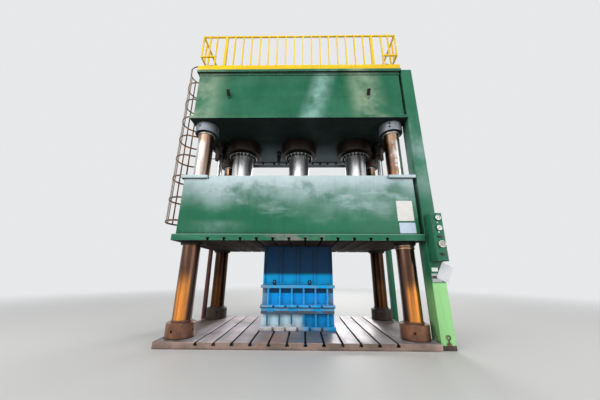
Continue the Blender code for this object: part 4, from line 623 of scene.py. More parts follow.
# %% [markdown]
# ## Plastics, card and dials
# Small instruments are read at a glance, so they need clean flat colours: a white dial, black
# marks and a black handle. A trace of dust and a slight grain keep them from looking drawn.

# %% Small finishes
DUST = (0.30, 0.28, 0.25)


def plain(name, colour, roughness):
    """A plain moulded, printed or card surface with a trace of dust."""
    material, tree, shader, place = begin(name, roughness)
    tone = layered(tree, place, colour, [(cloudy(0.12, 14.0, 0.4, 0.7), DUST)])
    join(tree, shader.inputs["Base Color"], tone)
    waviness(tree, shader, place, 160.0, 0.1, 0.001)
    return material


dial_white = plain("dial_white", (0.82, 0.82, 0.80), 0.4)
dial_cream = plain("dial_cream", (0.50, 0.44, 0.36), 0.4)
board_white = plain("board_white", (0.74, 0.74, 0.77), 0.5)
sign_white = plain("sign_white", (0.78, 0.76, 0.72), 0.45)
sign_blue = plain("sign_blue", (0.58, 0.68, 0.82), 0.45)
print_black = plain("print_black", (0.015, 0.015, 0.016), 0.5)
handle_black = plain("handle_black", (0.012, 0.012, 0.013), 0.35)
panel_grey = plain("panel_grey", (0.42, 0.44, 0.44), 0.5)
print("finishes", len(bpy.data.materials))

# %% [markdown]
# ## Shapes from grids
# Every new piece is a surface worked out with numpy. A shape here is a table of points, a table
# of four-sided faces between neighbours of a grid, and a few flat caps.

# %% Grid shapes


def grid_shape(grid, ring):
    """A grid of points as a shape, whose faces join each point to the next row and column. The
    columns always close round; the rows of a ring do too, and any other shape gets two caps."""
    rows, columns = grid.shape[:2]
    row, column = np.meshgrid(np.arange(rows - (not ring)), np.arange(columns), indexing="ij")
    row_on, column_on = (row + 1) % rows, (column + 1) % columns
    corners = [row * columns + column, row * columns + column_on,
               row_on * columns + column_on, row_on * columns + column]
    ends = [] if ring else [np.arange(columns)[::-1], np.arange(columns) + (rows - 1) * columns]
    return grid.reshape(-1, 3), np.stack(corners, -1).reshape(-1, 4), ends


def boxes(pairs):
    """Plain boxes between pairs of corners, as one shape each."""
    pick = np.array([(x, y, z) for x in (0, 1) for y in (0, 1) for z in (0, 1)])
    faces = np.array([(0, 1, 3, 2), (4, 6, 7, 5), (0, 4, 5, 1), (2, 3, 7, 6), (0, 2, 6, 4), (1, 5, 7, 3)])
    return [(np.array(pair, float)[pick, np.arange(3)], faces, []) for pair in pairs]


print("grid shapes ready")

# %% [markdown]
# ## Outlines and sections
# A half section or a bar drawn with sharp corners catches no light, so outlines are drawn round
# at their corners before they are turned or swept.

# %% Outlines


def rounded(points, radius, steps=3, closed=False):
    """An outline whose corners are drawn round: each is a parabola that starts and ends a radius
    away, at (1 - t)^2 before + 2 t (1 - t) corner + t^2 after."""
    points = np.asarray(points, float)
    before, after = np.roll(points, 1, 0) - points, np.roll(points, -1, 0) - points
    reach_in, reach_out = np.linalg.norm(before, axis=1), np.linalg.norm(after, axis=1)
    cut = np.minimum(radius, 0.45 * np.minimum(reach_in, reach_out))
    start = points + before * (cut / np.maximum(reach_in, 1e-9))[:, None]
    stop = points + after * (cut / np.maximum(reach_out, 1e-9))[:, None]
    t = np.linspace(0, 1, steps + 1)[None, :, None]
    arcs = (1 - t) ** 2 * start[:, None] + 2 * t * (1 - t) * points[:, None] + t ** 2 * stop[:, None]
    if closed:
        return arcs.reshape(-1, points.shape[1])
    inner = arcs[1:-1].reshape(-1, points.shape[1])
    return np.concatenate([points[:1], inner, points[-1:]])


def circle(radius, sides=16, phase=0.0):
    """Points evenly round a circle: (r cos t, r sin t)."""
    turn = np.linspace(0, 2 * np.pi, sides, endpoint=False) + phase
    return np.stack([radius * np.cos(turn), radius * np.sin(turn)], -1)


def bar(width, height, corner, steps=2):
    """The section of a rolled flat or square bar with its corners drawn round."""
    w, h = width / 2, height / 2
    return rounded([(-w, -h), (w, -h), (w, h), (-w, h)], corner, steps, closed=True)


print("outlines ready")

# %% [markdown]
# ## Turned and swept shapes
# Nearly everything that a machine shop makes is either turned on an axis or runs along a line, so
# two functions draw almost every piece of this press.

# %% Turned and swept shapes


def turned(profile, centre, axis="Z", sides=96, ring=False):
    """A profile of (radius, height) turned round an axis: (r cos t, r sin t, h) about a centre."""
    profile = np.asarray(profile, float)
    turn = np.linspace(0, 2 * np.pi, sides, endpoint=False)
    radius, rise = profile[:, :1], profile[:, 1:] + 0 * turn
    a, b = radius * np.cos(turn), radius * np.sin(turn)
    order = {"Z": (a, b, rise), "Y": (a, rise, b), "X": (rise, a, b)}[axis]
    return grid_shape(np.stack(order, -1) + np.asarray(centre, float), ring)


def swept(path, section, up=(0, 0, 1), closed=False):
    """A flat section carried along a path, held square to it and upright: p + u side + v rise."""
    path, section = np.asarray(path, float), np.asarray(section, float)
    way = np.roll(path, -1, 0) - np.roll(path, 1, 0)
    if not closed:
        way[0], way[-1] = path[1] - path[0], path[-1] - path[-2]
    way /= np.linalg.norm(way, axis=1)[:, None]
    side = np.cross(way, np.asarray(up, float))
    side /= np.linalg.norm(side, axis=1)[:, None]
    rise = np.cross(side, way)
    grid = path[:, None] + section[None, :, :1] * side[:, None] + section[None, :, 1:] * rise[:, None]
    return grid_shape(grid, closed)


print("turned and swept shapes ready")

# %% [markdown]
# ## From shapes to pieces
# A piece joins shapes into one mesh, turns its faces outwards, shades it smooth up to a sharp
# angle, and rides on one body of the frame. Where its edges need a round, a Bevel adds it.

# %% Pieces
SHARP = math.radians(35)


def finished(name, mesh, bm, material, body, nodes, bevel, segments=2):
    """Gives a mesh its edited form, its finish, its body, the nodes that it stands for,
    and either a Bevel on its edges or sharp ones."""
    bm.to_mesh(mesh)
    bm.free()
    mesh.shade_smooth()
    mesh.materials.append(material)
    obj = bpy.data.objects.new(name, mesh)
    bpy.context.scene.collection.objects.link(obj)
    if bevel:
        soft = obj.modifiers.new("soft_edges", "BEVEL")
        soft.width, soft.segments, soft.limit_method, soft.angle_limit = bevel, segments, "ANGLE", SHARP
        soft.harden_normals = True
    else:
        mesh.set_sharp_from_angle(angle=SHARP)
    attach(obj, body)
    if nodes:
        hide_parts(*nodes)


def piece(name, shapes, material, body, nodes=(), bevel=0.0, segments=2):
    """One finished piece made of shapes, with its faces turned outwards."""
    points, faces, start = [], [], 0
    for shape_points, quads, caps in shapes:
        points += shape_points.tolist()
        faces += [(face + start).tolist() for face in (*quads, *caps)]
        start += len(shape_points)
    mesh = bpy.data.meshes.new(name)
    mesh.from_pydata(points, [], faces)
    bm = bmesh.new()
    bm.from_mesh(mesh)
    bmesh.ops.recalc_face_normals(bm, faces=bm.faces)
    finished(name, mesh, bm, material, body, nodes, bevel, segments)


print("pieces ready")

# %% [markdown]
# ## Beams, plates and posts
# The heavy plate work keeps the frame's form: a softened piece starts from a copy of a node, its
# loose triangles are merged, flat faces joined, and its edges rounded. What makes it read as
# steel is that small round, wide enough to catch a line of light: 6 mm on the beams and the rail,
# 4 mm on the bed and the dies, 12 mm on the post, whose plate is folded.

# %% Plate work


def softened(node, width, material, body, slot):
    """A node's own shape with its edges rounded, which stands for that node."""
    bm = bmesh.new()
    bm.from_mesh(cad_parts[node].data)
    bmesh.ops.remove_doubles(bm, verts=bm.verts, dist=0.0001)
    bmesh.ops.dissolve_limit(bm, angle_limit=math.radians(1), verts=bm.verts, edges=bm.edges)
    name = "soft_" + node
    finished(name, bpy.data.meshes.new(name), bm, material, body, [node], width)


PLATE_WORK = [
    ("crown", 0.006, crown_paint, "root", "green_paint"),
    ("lower_beam", 0.006, green_paint, "root", "green_paint"),
    ("bed_plate", 0.004, bed_steel, "root", "bed_steel"),
    ("slide", 0.006, slide_paint, "slide", "green_paint"),
    ("slide_plate", 0.004, plate_paint, "slide", "green_paint"),
    ("lower_die", 0.004, lower_die_paint, "root", "blue_paint"),
    ("upper_die", 0.004, die_paint, "slide", "blue_paint"),
    ("die_spacer", 0.004, spacer_paint, "slide", "blue_paint"),
    ("control_post", 0.012, post_paint, "root", "green_paint"),
    ("rear_post", 0.006, green_paint, "root", "green_paint"),
    ("control_box", 0.003, green_paint, "root", "green_paint"),
    ("oil_tank", 0.006, green_paint, "root", "green_paint"),
    ("guardrail", 0.006, yellow_paint, "root", "yellow_paint"),
]
for row in PLATE_WORK:
    softened(*row)
print("plate work", len(PLATE_WORK))

# %% [markdown]
# ## Columns
# Round work is drawn as a half section and turned. A column has a chamfered top, a fine thread
# above its top nut, a long ground run that the guide bushes slide on, and a foot nut in the pit.
# Two faces that would lie in one plane are kept a fraction of a millimetre apart.

# %% Turned columns
COLUMN_RADIUS, TOP_CHAMFER, FOOT_NUT_TOP = 0.165, 0.015, 0.3997
THREAD_PITCH, THREAD_DEPTH = 0.010, 0.003
ROUND = 0.006
HAIR, SEAT_GAP, THREAD_GAP, RUNNING_GAP = 0.0002, 0.0003, 0.0004, 0.0006
RUNNING_BORE = COLUMN_RADIUS + RUNNING_GAP


def turned_node(node, outline, material, body, ring=False):
    """A half section turned about a node's upright axis, which stands for that node."""
    place = middle(node)
    piece("turned_" + node, [turned(outline, (place.x, place.y, 0), ring=ring)], material, body, [node])


def threaded(low, high):
    """Half section of a fine thread from high down to low: crests and roots by turns."""
    crest, root = (0, 0), (THREAD_DEPTH, THREAD_PITCH / 2)
    return [(COLUMN_RADIUS - depth, z - fall) for z in np.arange(high, low, -THREAD_PITCH)
            for depth, fall in (crest, root)]


for corner in CORNERS:
    node = "column_" + corner
    low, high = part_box(node)
    nut_low, nut_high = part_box("top_nut_" + corner)
    nut, foot = radius_of(node), FOOT_NUT_TOP - (nut_high.z - nut_low.z)
    thread = threaded(nut_high.z, high.z - TOP_CHAMFER)
    outline = [(COLUMN_RADIUS - TOP_CHAMFER, high.z), *thread, (COLUMN_RADIUS, nut_high.z),
               (COLUMN_RADIUS, FOOT_NUT_TOP), (nut, FOOT_NUT_TOP), (nut, foot), (COLUMN_RADIUS, foot),
               (COLUMN_RADIUS, low.z)]
    turned_node(node, outline, column_steel, "root")
print("columns", len(CORNERS))

# %% [markdown]
# ## Ring nuts with tommy holes
# The nuts are turned with a steel bar that fits blind holes round their rim. A Boolean would cut
# them, but a function of angle and height is lighter: the wall's radius drops by the hole's depth
# wherever the distance from a hole's centre, measured round the wall, is less than its radius.

# %% Ring nuts
HOLE_RADIUS, HOLE_DEPTH, HOLE_EDGE, HOLE_PAIR = 0.019, 0.035, 0.002, 0.035
HOLE_TURN = math.pi / 2
NUT_COLUMNS, NUT_ROWS = 320, 44
NUT_CHAMFER, COLLAR_HEIGHT, COLLAR_WALL = 0.012, 0.035, 0.012


def ring_nut(node, phase, rows, material, collar=0.0):
    """A round nut whose rim holds four tommy holes in each row: r = R - depth * step(hole - distance)."""
    low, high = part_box(node)
    place, radius, rim, bore = middle(node), radius_of(node), high.z - collar, COLUMN_RADIUS + THREAD_GAP
    turn = np.linspace(0, 2 * np.pi, NUT_COLUMNS, endpoint=False)
    wall = np.linspace(low.z + NUT_CHAMFER, rim - NUT_CHAMFER, NUT_ROWS)
    off = (turn - math.radians(phase)) % HOLE_TURN
    along = radius * np.minimum(off, HOLE_TURN - off)[None, :]
    cut = np.zeros((NUT_ROWS, NUT_COLUMNS))
    for row in rows:
        up = (wall - (low.z + rim) / 2 - row)[:, None]
        cut = np.maximum(cut, np.clip((HOLE_RADIUS - np.hypot(along, up)) / HOLE_EDGE + 0.5, 0, 1))
    below = np.array([(bore, low.z), (radius - NUT_CHAMFER / 2, low.z)])
    above = [(radius - NUT_CHAMFER, rim), (bore, high.z)]
    if collar:
        neck = COLUMN_RADIUS + COLLAR_WALL
        above[1:1] = [(neck, rim), (neck, high.z - ROUND / 2), (neck - ROUND / 2, high.z)]
    above = np.array(above)
    flat = np.ones(NUT_COLUMNS)
    radii = np.concatenate([below[:, :1] * flat, radius - HOLE_DEPTH * cut, above[:, :1] * flat])
    heights = np.concatenate([below[:, 1], wall, above[:, 1]])[:, None] + 0 * turn
    grid = np.stack([place.x + radii * np.cos(turn), place.y + radii * np.sin(turn), heights], -1)
    piece("turned_" + node, [grid_shape(grid, True)], material, "root", [node])


print("nut holes every", round(math.degrees(HOLE_TURN)), "degrees")

# %% [markdown]
# ## Twelve nuts and four lips
# Each nut stopped turning where it was tight, so its holes stand at an angle of their own, and
# some show two rows. A bright lip hangs below each crown nut, where the column is wiped clean.

# %% Nuts and lips
ONE_ROW, TWO_ROWS = (0,), (-HOLE_PAIR, HOLE_PAIR)
HOLES = {
    "bed_nut_front_left": (260, ONE_ROW), "bed_nut_front_right": (247, ONE_ROW),
    "bed_nut_rear_left": (292, TWO_ROWS), "bed_nut_rear_right": (248, TWO_ROWS),
    "crown_nut_front_left": (343, ONE_ROW), "crown_nut_front_right": (247, TWO_ROWS),
    "crown_nut_rear_left": (292, ONE_ROW), "crown_nut_rear_right": (214, ONE_ROW),
}
BED_NUT, CROWN_NUT = (nut_brown, "nut_brown", COLLAR_HEIGHT), (nut_grey, "nut_grey", 0)
TOP_NUT_TURN = 22
LIP_WALL, LIP_HEIGHT, LIP_ROUND = 0.014, 0.040, 0.004
for node, (phase, rows) in HOLES.items():
    steel, slot, collar = BED_NUT if "bed" in node else CROWN_NUT
    # Rear nuts take the copy that is painted dark as shade.
    ring_nut(node, phase, rows, nut_in_shade if "rear" in node else steel, collar)
for corner in CORNERS:
    ring_nut("top_nut_" + corner, TOP_NUT_TURN, ONE_ROW, nut_grey)
for corner in CORNERS:
    place, top = middle("crown_nut_" + corner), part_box("crown_nut_" + corner)[0].z - SEAT_GAP
    wall, foot = COLUMN_RADIUS + LIP_WALL, top - LIP_HEIGHT
    lip = [(RUNNING_BORE, top), (wall, top), (wall, foot), (RUNNING_BORE, foot)]
    shape = turned(rounded(lip, LIP_ROUND, closed=True), (place.x, place.y, 0), ring=True)
    piece("nut_lip_" + corner, [shape], bolt_bright, "root")
print("ring nuts", len(HOLES) + len(CORNERS))

# %% [markdown]
# ## Guide bushes and wipers
# Each column passes through a bush whose black flange is bolted up under the slide. The right
# front one carries a pair of bronze wiper bands below it, which keep grit off the column.

# %% Guide bushes
BUSH_RADIUS, BUSH_FLANGE, BUSH_LIP = 0.195, 0.05, 0.008
BUSH_BOLTS, BUSH_BOLT_INSET, BOLT_SIDES = (8, 0.009, -0.010, 0.3), 0.018, 12
WIPER_BAND, WIPER_GROOVE, WIPER_ROUND = COLUMN_RADIUS + 0.014, COLUMN_RADIUS + 0.005, 0.004
WIPER_STEPS = (0.032, 0.036, 0.044, 0.048, 0.080)


def bolt_ring(centre, circle_radius, count, radius, height, phase=0.0):
    """Round cap-screw heads set evenly on a circle: a small turned drum at each place."""
    cap = rounded([(radius * 0.55, height * 0.6), (radius * 0.6, height), (radius, height), (radius, 0),
                   (radius * 0.6, 0)], radius * 0.25, 1)
    spots = circle(circle_radius, count, phase)
    return [turned(cap, (centre[0] + x, centre[1] + y, centre[2]), sides=BOLT_SIDES) for x, y in spots]


for corner in CORNERS:
    node = "guide_bush_" + corner
    low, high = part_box(node)
    place, flange, seat = middle(node), radius_of(node), low.z + BUSH_FLANGE - SEAT_GAP
    outline = rounded([(RUNNING_BORE, high.z), (BUSH_RADIUS, high.z), (BUSH_RADIUS, seat), (flange, seat),
                       (flange, low.z), (RUNNING_BORE, low.z)], BUSH_LIP, closed=True)
    turned_node(node, outline, bush_black, "slide", ring=True)
    heads = bolt_ring((place.x, place.y, low.z + HAIR), flange - BUSH_BOLT_INSET, *BUSH_BOLTS)
    piece("bolts_" + node, heads, bolt_black, "slide")
wiper_metal = metal("wiper_bronze", (0.42, 0.25, 0.16), roughness=0.3, grain=TURNED_ROUND)
place, top = middle("guide_bush_front_right"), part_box("guide_bush_front_right")[0].z - SEAT_GAP
first, second, third, fourth, foot = (top - fall for fall in WIPER_STEPS)
outline = [(RUNNING_BORE, top), (WIPER_BAND, top), (WIPER_BAND, first), (WIPER_GROOVE, second),
           (WIPER_GROOVE, third), (WIPER_BAND, fourth), (WIPER_BAND, foot), (RUNNING_BORE, foot)]
bands = turned(rounded(outline, WIPER_ROUND, closed=True), (place.x, place.y, 0), ring=True)
piece("wiper_front_right", [bands], wiper_metal, "slide")
print("bushes", len(CORNERS))

# %% [markdown]
# ## Cylinders, glands and rams
# Three rams push the slide down and two thin rods lift it. Each barrel hangs under the crown on
# its shoulder and is held by a nut above. The gland ring's bolt heads are the bright toothed
# crescent that shows round each ram from below, so they are separate, closely set cap screws.

# %% Cylinders
RAM_RADIUS, RAM_FOOT, ROD_RADIUS, ROD_FOOT = 0.255, 0.09, 0.055, 0.08
# Radii: rod, through the beam, below it, nut, neck. Then the neck's height and the bore's rise.
MAIN = (RAM_RADIUS, 0.40, 0.45, 0.46, 0.36, 0.12, 0.975)
RETURN = (ROD_RADIUS, 0.10, 0.13, 0.13, 0.055, 0.05, 0.775)
BARREL_ROUND, GLAND_ROUND, GLAND_PLATE = 0.012, 0.008, 0.05
FOOT_BOLTS, GLAND_BOLTS, GLAND_TURN = (0.292, 12, 0.021, 0.0085), (0.306, 20, 0.026), 0.1


def barrel(node, rod, through, below, nut, neck, neck_height, bore_rise):
    """Half section of a hydraulic cylinder, from its top plug down its outside and up its bore."""
    low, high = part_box(node)
    bore, bore_top, nut_top = rod + RUNNING_GAP, CROWN_BOTTOM + bore_rise, high.z - neck_height
    shoulder, seat = CROWN_BOTTOM - SEAT_GAP, CROWN_TOP + SEAT_GAP
    outline = [(neck / 4, high.z), (neck, high.z), (neck, nut_top), (nut, nut_top), (nut, seat),
               (through, seat), (through, shoulder), (below, shoulder), (below, low.z), (bore, low.z),
               (bore, bore_top), (bore / 4, bore_top)]
    turned_node(node, rounded(outline, BARREL_ROUND), barrel_steel, "root")


def plunger(node, rod, foot_height):
    """A ram or a rod: a long ground bar with a round foot that is bolted to the slide."""
    low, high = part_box(node)
    foot, foot_top = radius_of(node), low.z + foot_height
    outline = [(rod / 4, high.z), (rod, high.z), (rod, foot_top), (foot, foot_top), (foot, low.z),
               (rod / 4, low.z)]
    turned_node(node, rounded(outline, ROUND), ram_chrome, "slide")


for side in ("left", "centre", "right"):
    barrel("main_cylinder_" + side, *MAIN)
    plunger("ram_" + side, RAM_RADIUS, RAM_FOOT)
    place, foot_top = middle("ram_" + side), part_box("ram_" + side)[0].z + RAM_FOOT
    heads = bolt_ring((place.x, place.y, foot_top), *FOOT_BOLTS)
    piece("bolts_ram_" + side, heads, bolt_black, "slide")
    node = "gland_ring_" + side
    low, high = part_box(node)
    place, rim, face, bore = middle(node), radius_of(node), high.z - GLAND_PLATE, RAM_RADIUS + RUNNING_GAP
    outline = rounded([(bore, high.z), (rim, high.z), (rim, face), (bore, face)], GLAND_ROUND, closed=True)
    turned_node(node, outline, gland_steel, "root", ring=True)
    heads = bolt_ring((place.x, place.y, face), *GLAND_BOLTS, low.z - face, GLAND_TURN)
    piece("bolts_" + node, heads, bolt_black, "root")
for side in ("left", "right"):
    barrel("return_cylinder_" + side, *RETURN)
    plunger("return_rod_" + side, ROD_RADIUS, ROD_FOOT)
print("cylinders", 5)

# %% [markdown]
# ## The ladder
# A ladder is two flat stiles with round rungs between them. Three pairs of arms carry it: one at
# the bed and one at each edge of the crown.

# %% Ladder
STILE_DEPTH, STILE_THICKNESS, ARM_HEIGHT, HALF_LADDER = 0.060, 0.014, 0.023, 0.22
RUNG_RADIUS, RUNG_PITCH, RUNG_COUNT = 0.012, 0.30, 19
ARM_LEVELS = (BED_TOP - 0.05, CROWN_BOTTOM + 0.0325, CROWN_TOP - 0.0325)
low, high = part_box("caged_ladder")
LADDER_Y, STILE_X = (low.y + high.y) / 2, low.x + STILE_DEPTH / 2
bars = []
for side in (-1, 1):
    y, half = LADDER_Y + side * HALF_LADDER, STILE_THICKNESS / 2
    bars.append(((low.x, y - half, FLOOR_Z), (low.x + STILE_DEPTH, y + half, high.z)))
    near, far = sorted((y + side * HAIR, y + side * STILE_THICKNESS))
    bars += [((STILE_X, near, z - ARM_HEIGHT / 2), (high.x, far, z + ARM_HEIGHT / 2)) for z in ARM_LEVELS]
rung = [(RUNG_RADIUS, -HALF_LADDER), (RUNG_RADIUS, HALF_LADDER)]
rungs = [turned(rung, (STILE_X, LADDER_Y, CROWN_TOP - n * RUNG_PITCH), "Y", 16) for n in range(RUNG_COUNT)]
piece("ladder_bars", boxes(bars) + rungs, rusty_iron, "root", ["caged_ladder"],
      bevel=0.0015, segments=1)
print("rungs", RUNG_COUNT)

# %% [markdown]
# ## The ladder's cage
# The cage is a row of flat hoops, each a flat section swept round a half circle between two
# straight legs, tied by five upright strips that follow the arc.

# %% Cage
HOOP_RADIUS, HOOP_THICKNESS, HOOP_HEIGHT, HOOP_PITCH = 0.41, 0.010, 0.045, 2 * RUNG_PITCH
STRIP_WIDTH, STRIP_THICKNESS, STRIP_ANGLES = 0.040, 0.006, (-50, -25, 0, 25, 50)
low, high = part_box("ladder_hoops")
hoop_x, line = low.x + HOOP_RADIUS, HOOP_RADIUS - HOOP_THICKNESS / 2
turn = np.linspace(np.pi / 2, 3 * np.pi / 2, 25)
arc = np.stack([hoop_x + line * np.cos(turn), LADDER_Y + line * np.sin(turn)], -1)
route = np.concatenate([[(high.x, LADDER_Y + HALF_LADDER)], arc, [(high.x, LADDER_Y - HALF_LADDER)]])
section = bar(HOOP_THICKNESS, HOOP_HEIGHT, 0.002)
levels = np.arange(low.z + HOOP_HEIGHT / 2, high.z, HOOP_PITCH)
hoops = [swept(np.column_stack([route, np.full(len(route), z)]), section) for z in levels]
for angle in STRIP_ANGLES:
    away, reach = math.pi + math.radians(angle), HOOP_RADIUS - 1.5 * HOOP_THICKNESS
    out = (math.cos(away), math.sin(away), 0)
    foot = (hoop_x + reach * out[0], LADDER_Y + reach * out[1], low.z + HOOP_HEIGHT / 2)
    top = (foot[0], foot[1], high.z - HOOP_HEIGHT / 2)
    hoops.append(swept([foot, top], bar(STRIP_WIDTH, STRIP_THICKNESS, 0.001), out))
piece("cage_hoops", hoops, rusty_iron, "root", ["ladder_hoops"])
print("cage bars", len(hoops))

# %% [markdown]
# ## The oil riser
# One pipe runs up the left rear to the crown. It is a circle swept along a line whose two
# corners are drawn round, with a bolted flange where it meets each beam.

# %% Oil riser
PIPE_RADIUS, PIPE_BEND, FLANGE_RADIUS, FLANGE_THICKNESS = 0.058, 0.12, 0.095, 0.02
low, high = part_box("oil_riser")
pipe_y, pipe_x = (low.y + high.y) / 2, low.x + PIPE_RADIUS
bottom, top = low.z + FLANGE_RADIUS, high.z - FLANGE_RADIUS
route = rounded([(high.x, bottom), (pipe_x, bottom), (pipe_x, top), (high.x, top)], PIPE_BEND, 10)
path = np.stack([route[:, 0], np.full(len(route), pipe_y), route[:, 1]], -1)
shapes = [swept(path, circle(PIPE_RADIUS, 28), (0, 1, 0))]
eye = PIPE_RADIUS * 0.5
disc = [(eye, 0), (FLANGE_RADIUS, 0), (FLANGE_RADIUS, FLANGE_THICKNESS), (eye, FLANGE_THICKNESS)]
for z in (bottom, top):
    shapes.append(turned(rounded(disc, 0.003), (high.x - FLANGE_THICKNESS, pipe_y, z), "X", 48))
piece("riser_pipe", shapes, riser_red, "root", ["oil_riser"])
print("riser", round(top - bottom, 2), "m")

# %% [markdown]
# ## Small machinery
# The handles, the pump and the valve block keep the frame's form with softer edges. The needles
# keep their own nodes, because each turns in its own body, and only take a better finish.

# %% Small machinery
SMALL_WORK = [
    ("pump_unit", 0.004, green_paint, "root", "green_paint"),
    ("valve_block", 0.003, handle_black, "root", "handle_black"),
    ("document_board", 0.001, board_white, "root", "board_white"),
    ("selector_switch", 0.0015, handle_black, "selector", "handle_black"),
    ("valve_handle", 0.0015, handle_black, "valve", "handle_black"),
]
NEEDLES = ("needle_upper", "needle_middle", "needle_lower")
for row in SMALL_WORK:
    softened(*row)
for node in NEEDLES:
    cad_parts[node].material_slots[0].material = print_black
print("small pieces", len(SMALL_WORK) + len(NEEDLES))

# %% [markdown]
# ## Dial gauges
# A gauge is a turned case with a rolled bezel, a white dial set back in it, and marks. The marks
# are thin plates on the dial, set round three quarters of a turn as on a pressure gauge, and
# every fifth one is longer and wider.

# %% Dial gauges
BEZEL, RECESS, DIAL_THICKNESS = 0.007, 0.014, 0.0018
FIRST_MARK, MARK_SWEEP, MARK_THICKNESS, MARK_END = 225, 270, 0.0002, 0.93
LONG_MARK, SHORT_MARK = (0.74, 0.0016), (0.82, 0.0008)
GAUGES = {"upper": (26, dial_white), "middle": (26, dial_white), "lower": (31, dial_cream)}


def gauge(name, marks, dial):
    """One gauge case, its dial and its marks: each mark is a thin box turned about the middle."""
    node = "gauge_" + name
    low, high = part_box(node)
    place, radius, dial_y = middle(node), radius_of(node), low.y + RECESS
    axis, floor_y = (place.x, 0, place.z), dial_y + 0.002
    inside, reach = radius - BEZEL, radius - BEZEL - SEAT_GAP
    outline = rounded([(radius / 4, floor_y), (inside, floor_y), (inside, low.y), (radius, low.y),
                       (radius, high.y), (radius / 4, high.y)], 0.0025)
    piece("case_" + name, [turned(outline, axis, "Y", 64)], case_chrome, "root", [node])
    rear = dial_y + DIAL_THICKNESS
    disc = [(reach / 4, dial_y), (reach, dial_y), (reach, rear), (reach / 4, rear)]
    piece("dial_" + name, [turned(disc, axis, "Y", 64)], dial, "root")
    centre, shapes = np.array((place.x, dial_y - 0.0001, place.z)), []
    for n in range(marks):
        turn = math.radians(FIRST_MARK - MARK_SWEEP * n / (marks - 1))
        out = reach * np.array((math.cos(turn), 0, math.sin(turn)))
        start, width = SHORT_MARK if n % 5 else LONG_MARK
        section = bar(width, MARK_THICKNESS, MARK_THICKNESS / 4, 1)
        shapes.append(swept([centre + start * out, centre + MARK_END * out], section, (0, 1, 0)))
    piece("marks_" + name, shapes, print_black, "root")


for name, (marks, dial) in GAUGES.items():
    gauge(name, marks, dial)
print("gauges", len(GAUGES))

# %% [markdown]
# ## Plates and lamps
# Bare plates are fixed to the slide's front and to the control post. Each is a thin box a hair in
# front of its wall. Two small lamps stand on the control box between its gauges.

# %% Plates and lamps
door_low, door_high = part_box("control_box")
POST_Y, SLIDE_FRONT_Y, PANEL_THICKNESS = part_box("control_post")[0].y, -1.225, 0.004
LAMP_X, LAMP_HEIGHTS = (door_low.x + door_high.x) / 2 - 0.005, (3.552, 3.383)
SLIDE_PLATES = [  # name, the wall's y, thickness, (left, right, bottom, top), finish, body, slot
    ("slide_plate_white", SLIDE_FRONT_Y, 0.003, (1.90, 2.205, 3.635, 4.03), sign_white, "slide"),
    ("slide_plate_blue", SLIDE_FRONT_Y, 0.003, (1.915, 2.215, 3.40, 3.60), sign_blue, "slide"),
]
POST_PLATES = [
    ("post_label", POST_Y, 0.002, (2.385, 2.495, 2.725, 2.790), dial_white, "root"),
    ("post_panel", POST_Y, PANEL_THICKNESS, (2.370, 2.540, 2.550, 2.690), panel_grey, "root"),
    ("post_panel_band", POST_Y - PANEL_THICKNESS, 0.002, (2.374, 2.536, 2.605, 2.650), print_black, "root",
     "handle_black"),
]


def plate(name, wall_y, thickness, span, material, body, slot="board_white"):
    """A thin plate against a front wall."""
    left, right, bottom, top = span
    corners = (left, wall_y - thickness, bottom), (right, wall_y - SEAT_GAP, top)
    piece(name, boxes([corners]), material, body, bevel=thickness / 3)


for row in SLIDE_PLATES:
    plate(*row)
button = rounded([(0.003, -0.009), (0.011, -0.009), (0.013, -SEAT_GAP), (0.003, -SEAT_GAP)], 0.002)
lamps = [turned(button, (LAMP_X, door_low.y, z), "Y", 24) for z in LAMP_HEIGHTS]
piece("door_lamps", lamps, dial_white, "root")
for row in POST_PLATES:
    plate(*row)
print("plates", len(SLIDE_PLATES + POST_PLATES), "lamps", len(lamps))

# %% [markdown]
# ## Rings and eyebolts
# Two eyebolts on the upper die lift it out, and an iron ring hangs from a stem at the post's
# foot. Both are the same thing: a round wire bent to an upright ring.

# %% Rings and eyebolts
EYE_RADIUS, EYE_WIRE, EYE_RISE, EYE_X, EYE_Y = 0.030, 0.013, 0.062, (-0.484, 0.2475), -0.425
RING_RADIUS, RING_WIRE, RING_X, RING_Y, RING_Z = 0.030, 0.0060, 2.490, POST_Y - 0.0125, FLOOR_Z + 0.195
STEM_TOP, TAB_HALF, TAB_TOP, TAB_FRONT = 1.575, 0.030, 1.600, POST_Y - 0.022


def ring(centre, radius, wire):
    """A round wire bent to a ring that stands upright: centre + r (cos t across + sin t up)."""
    turn = np.linspace(0, 2 * np.pi, 32, endpoint=False)
    path = np.asarray(centre) + radius * np.stack([np.cos(turn), 0 * turn, np.sin(turn)], -1)
    return swept(path, circle(wire, 12), (0, -1, 0), closed=True)


die_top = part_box("upper_die")[1].z
shank = [(0.034, SEAT_GAP), (0.034, 0.022), (0.014, 0.026), (0.014, 0.036)]
eyes = []
for x in EYE_X:
    eyes.append(turned(shank, (x, EYE_Y, die_top), sides=24))
    eyes.append(ring((x, EYE_Y, die_top + EYE_RISE), EYE_RADIUS, EYE_WIRE))
piece("die_eyebolts", eyes, bolt_black, "slide")
stem = turned([(RING_WIRE, STEM_TOP), (RING_WIRE, RING_Z - 0.028)], (RING_X, RING_Y, 0), sides=16)
tab = boxes([((RING_X - TAB_HALF, TAB_FRONT, STEM_TOP), (RING_X + TAB_HALF, POST_Y - SEAT_GAP, TAB_TOP))])
hanging = ring((RING_X, RING_Y, RING_Z), RING_RADIUS, RING_WIRE)
piece("post_ring", [hanging, stem, *tab], rusty_iron, "root")
print("rings", len(EYE_X) + 1)

# %% [markdown]
# ## Lifting pegs
# The crown is lifted by four pegs that tilt upwards. Each wears a black sleeve, painted shade on
# the peg's body, with a bright cap at its end, a painted highlight on its lit tip, set along the
# peg's own direction, halfway between outwards and up.

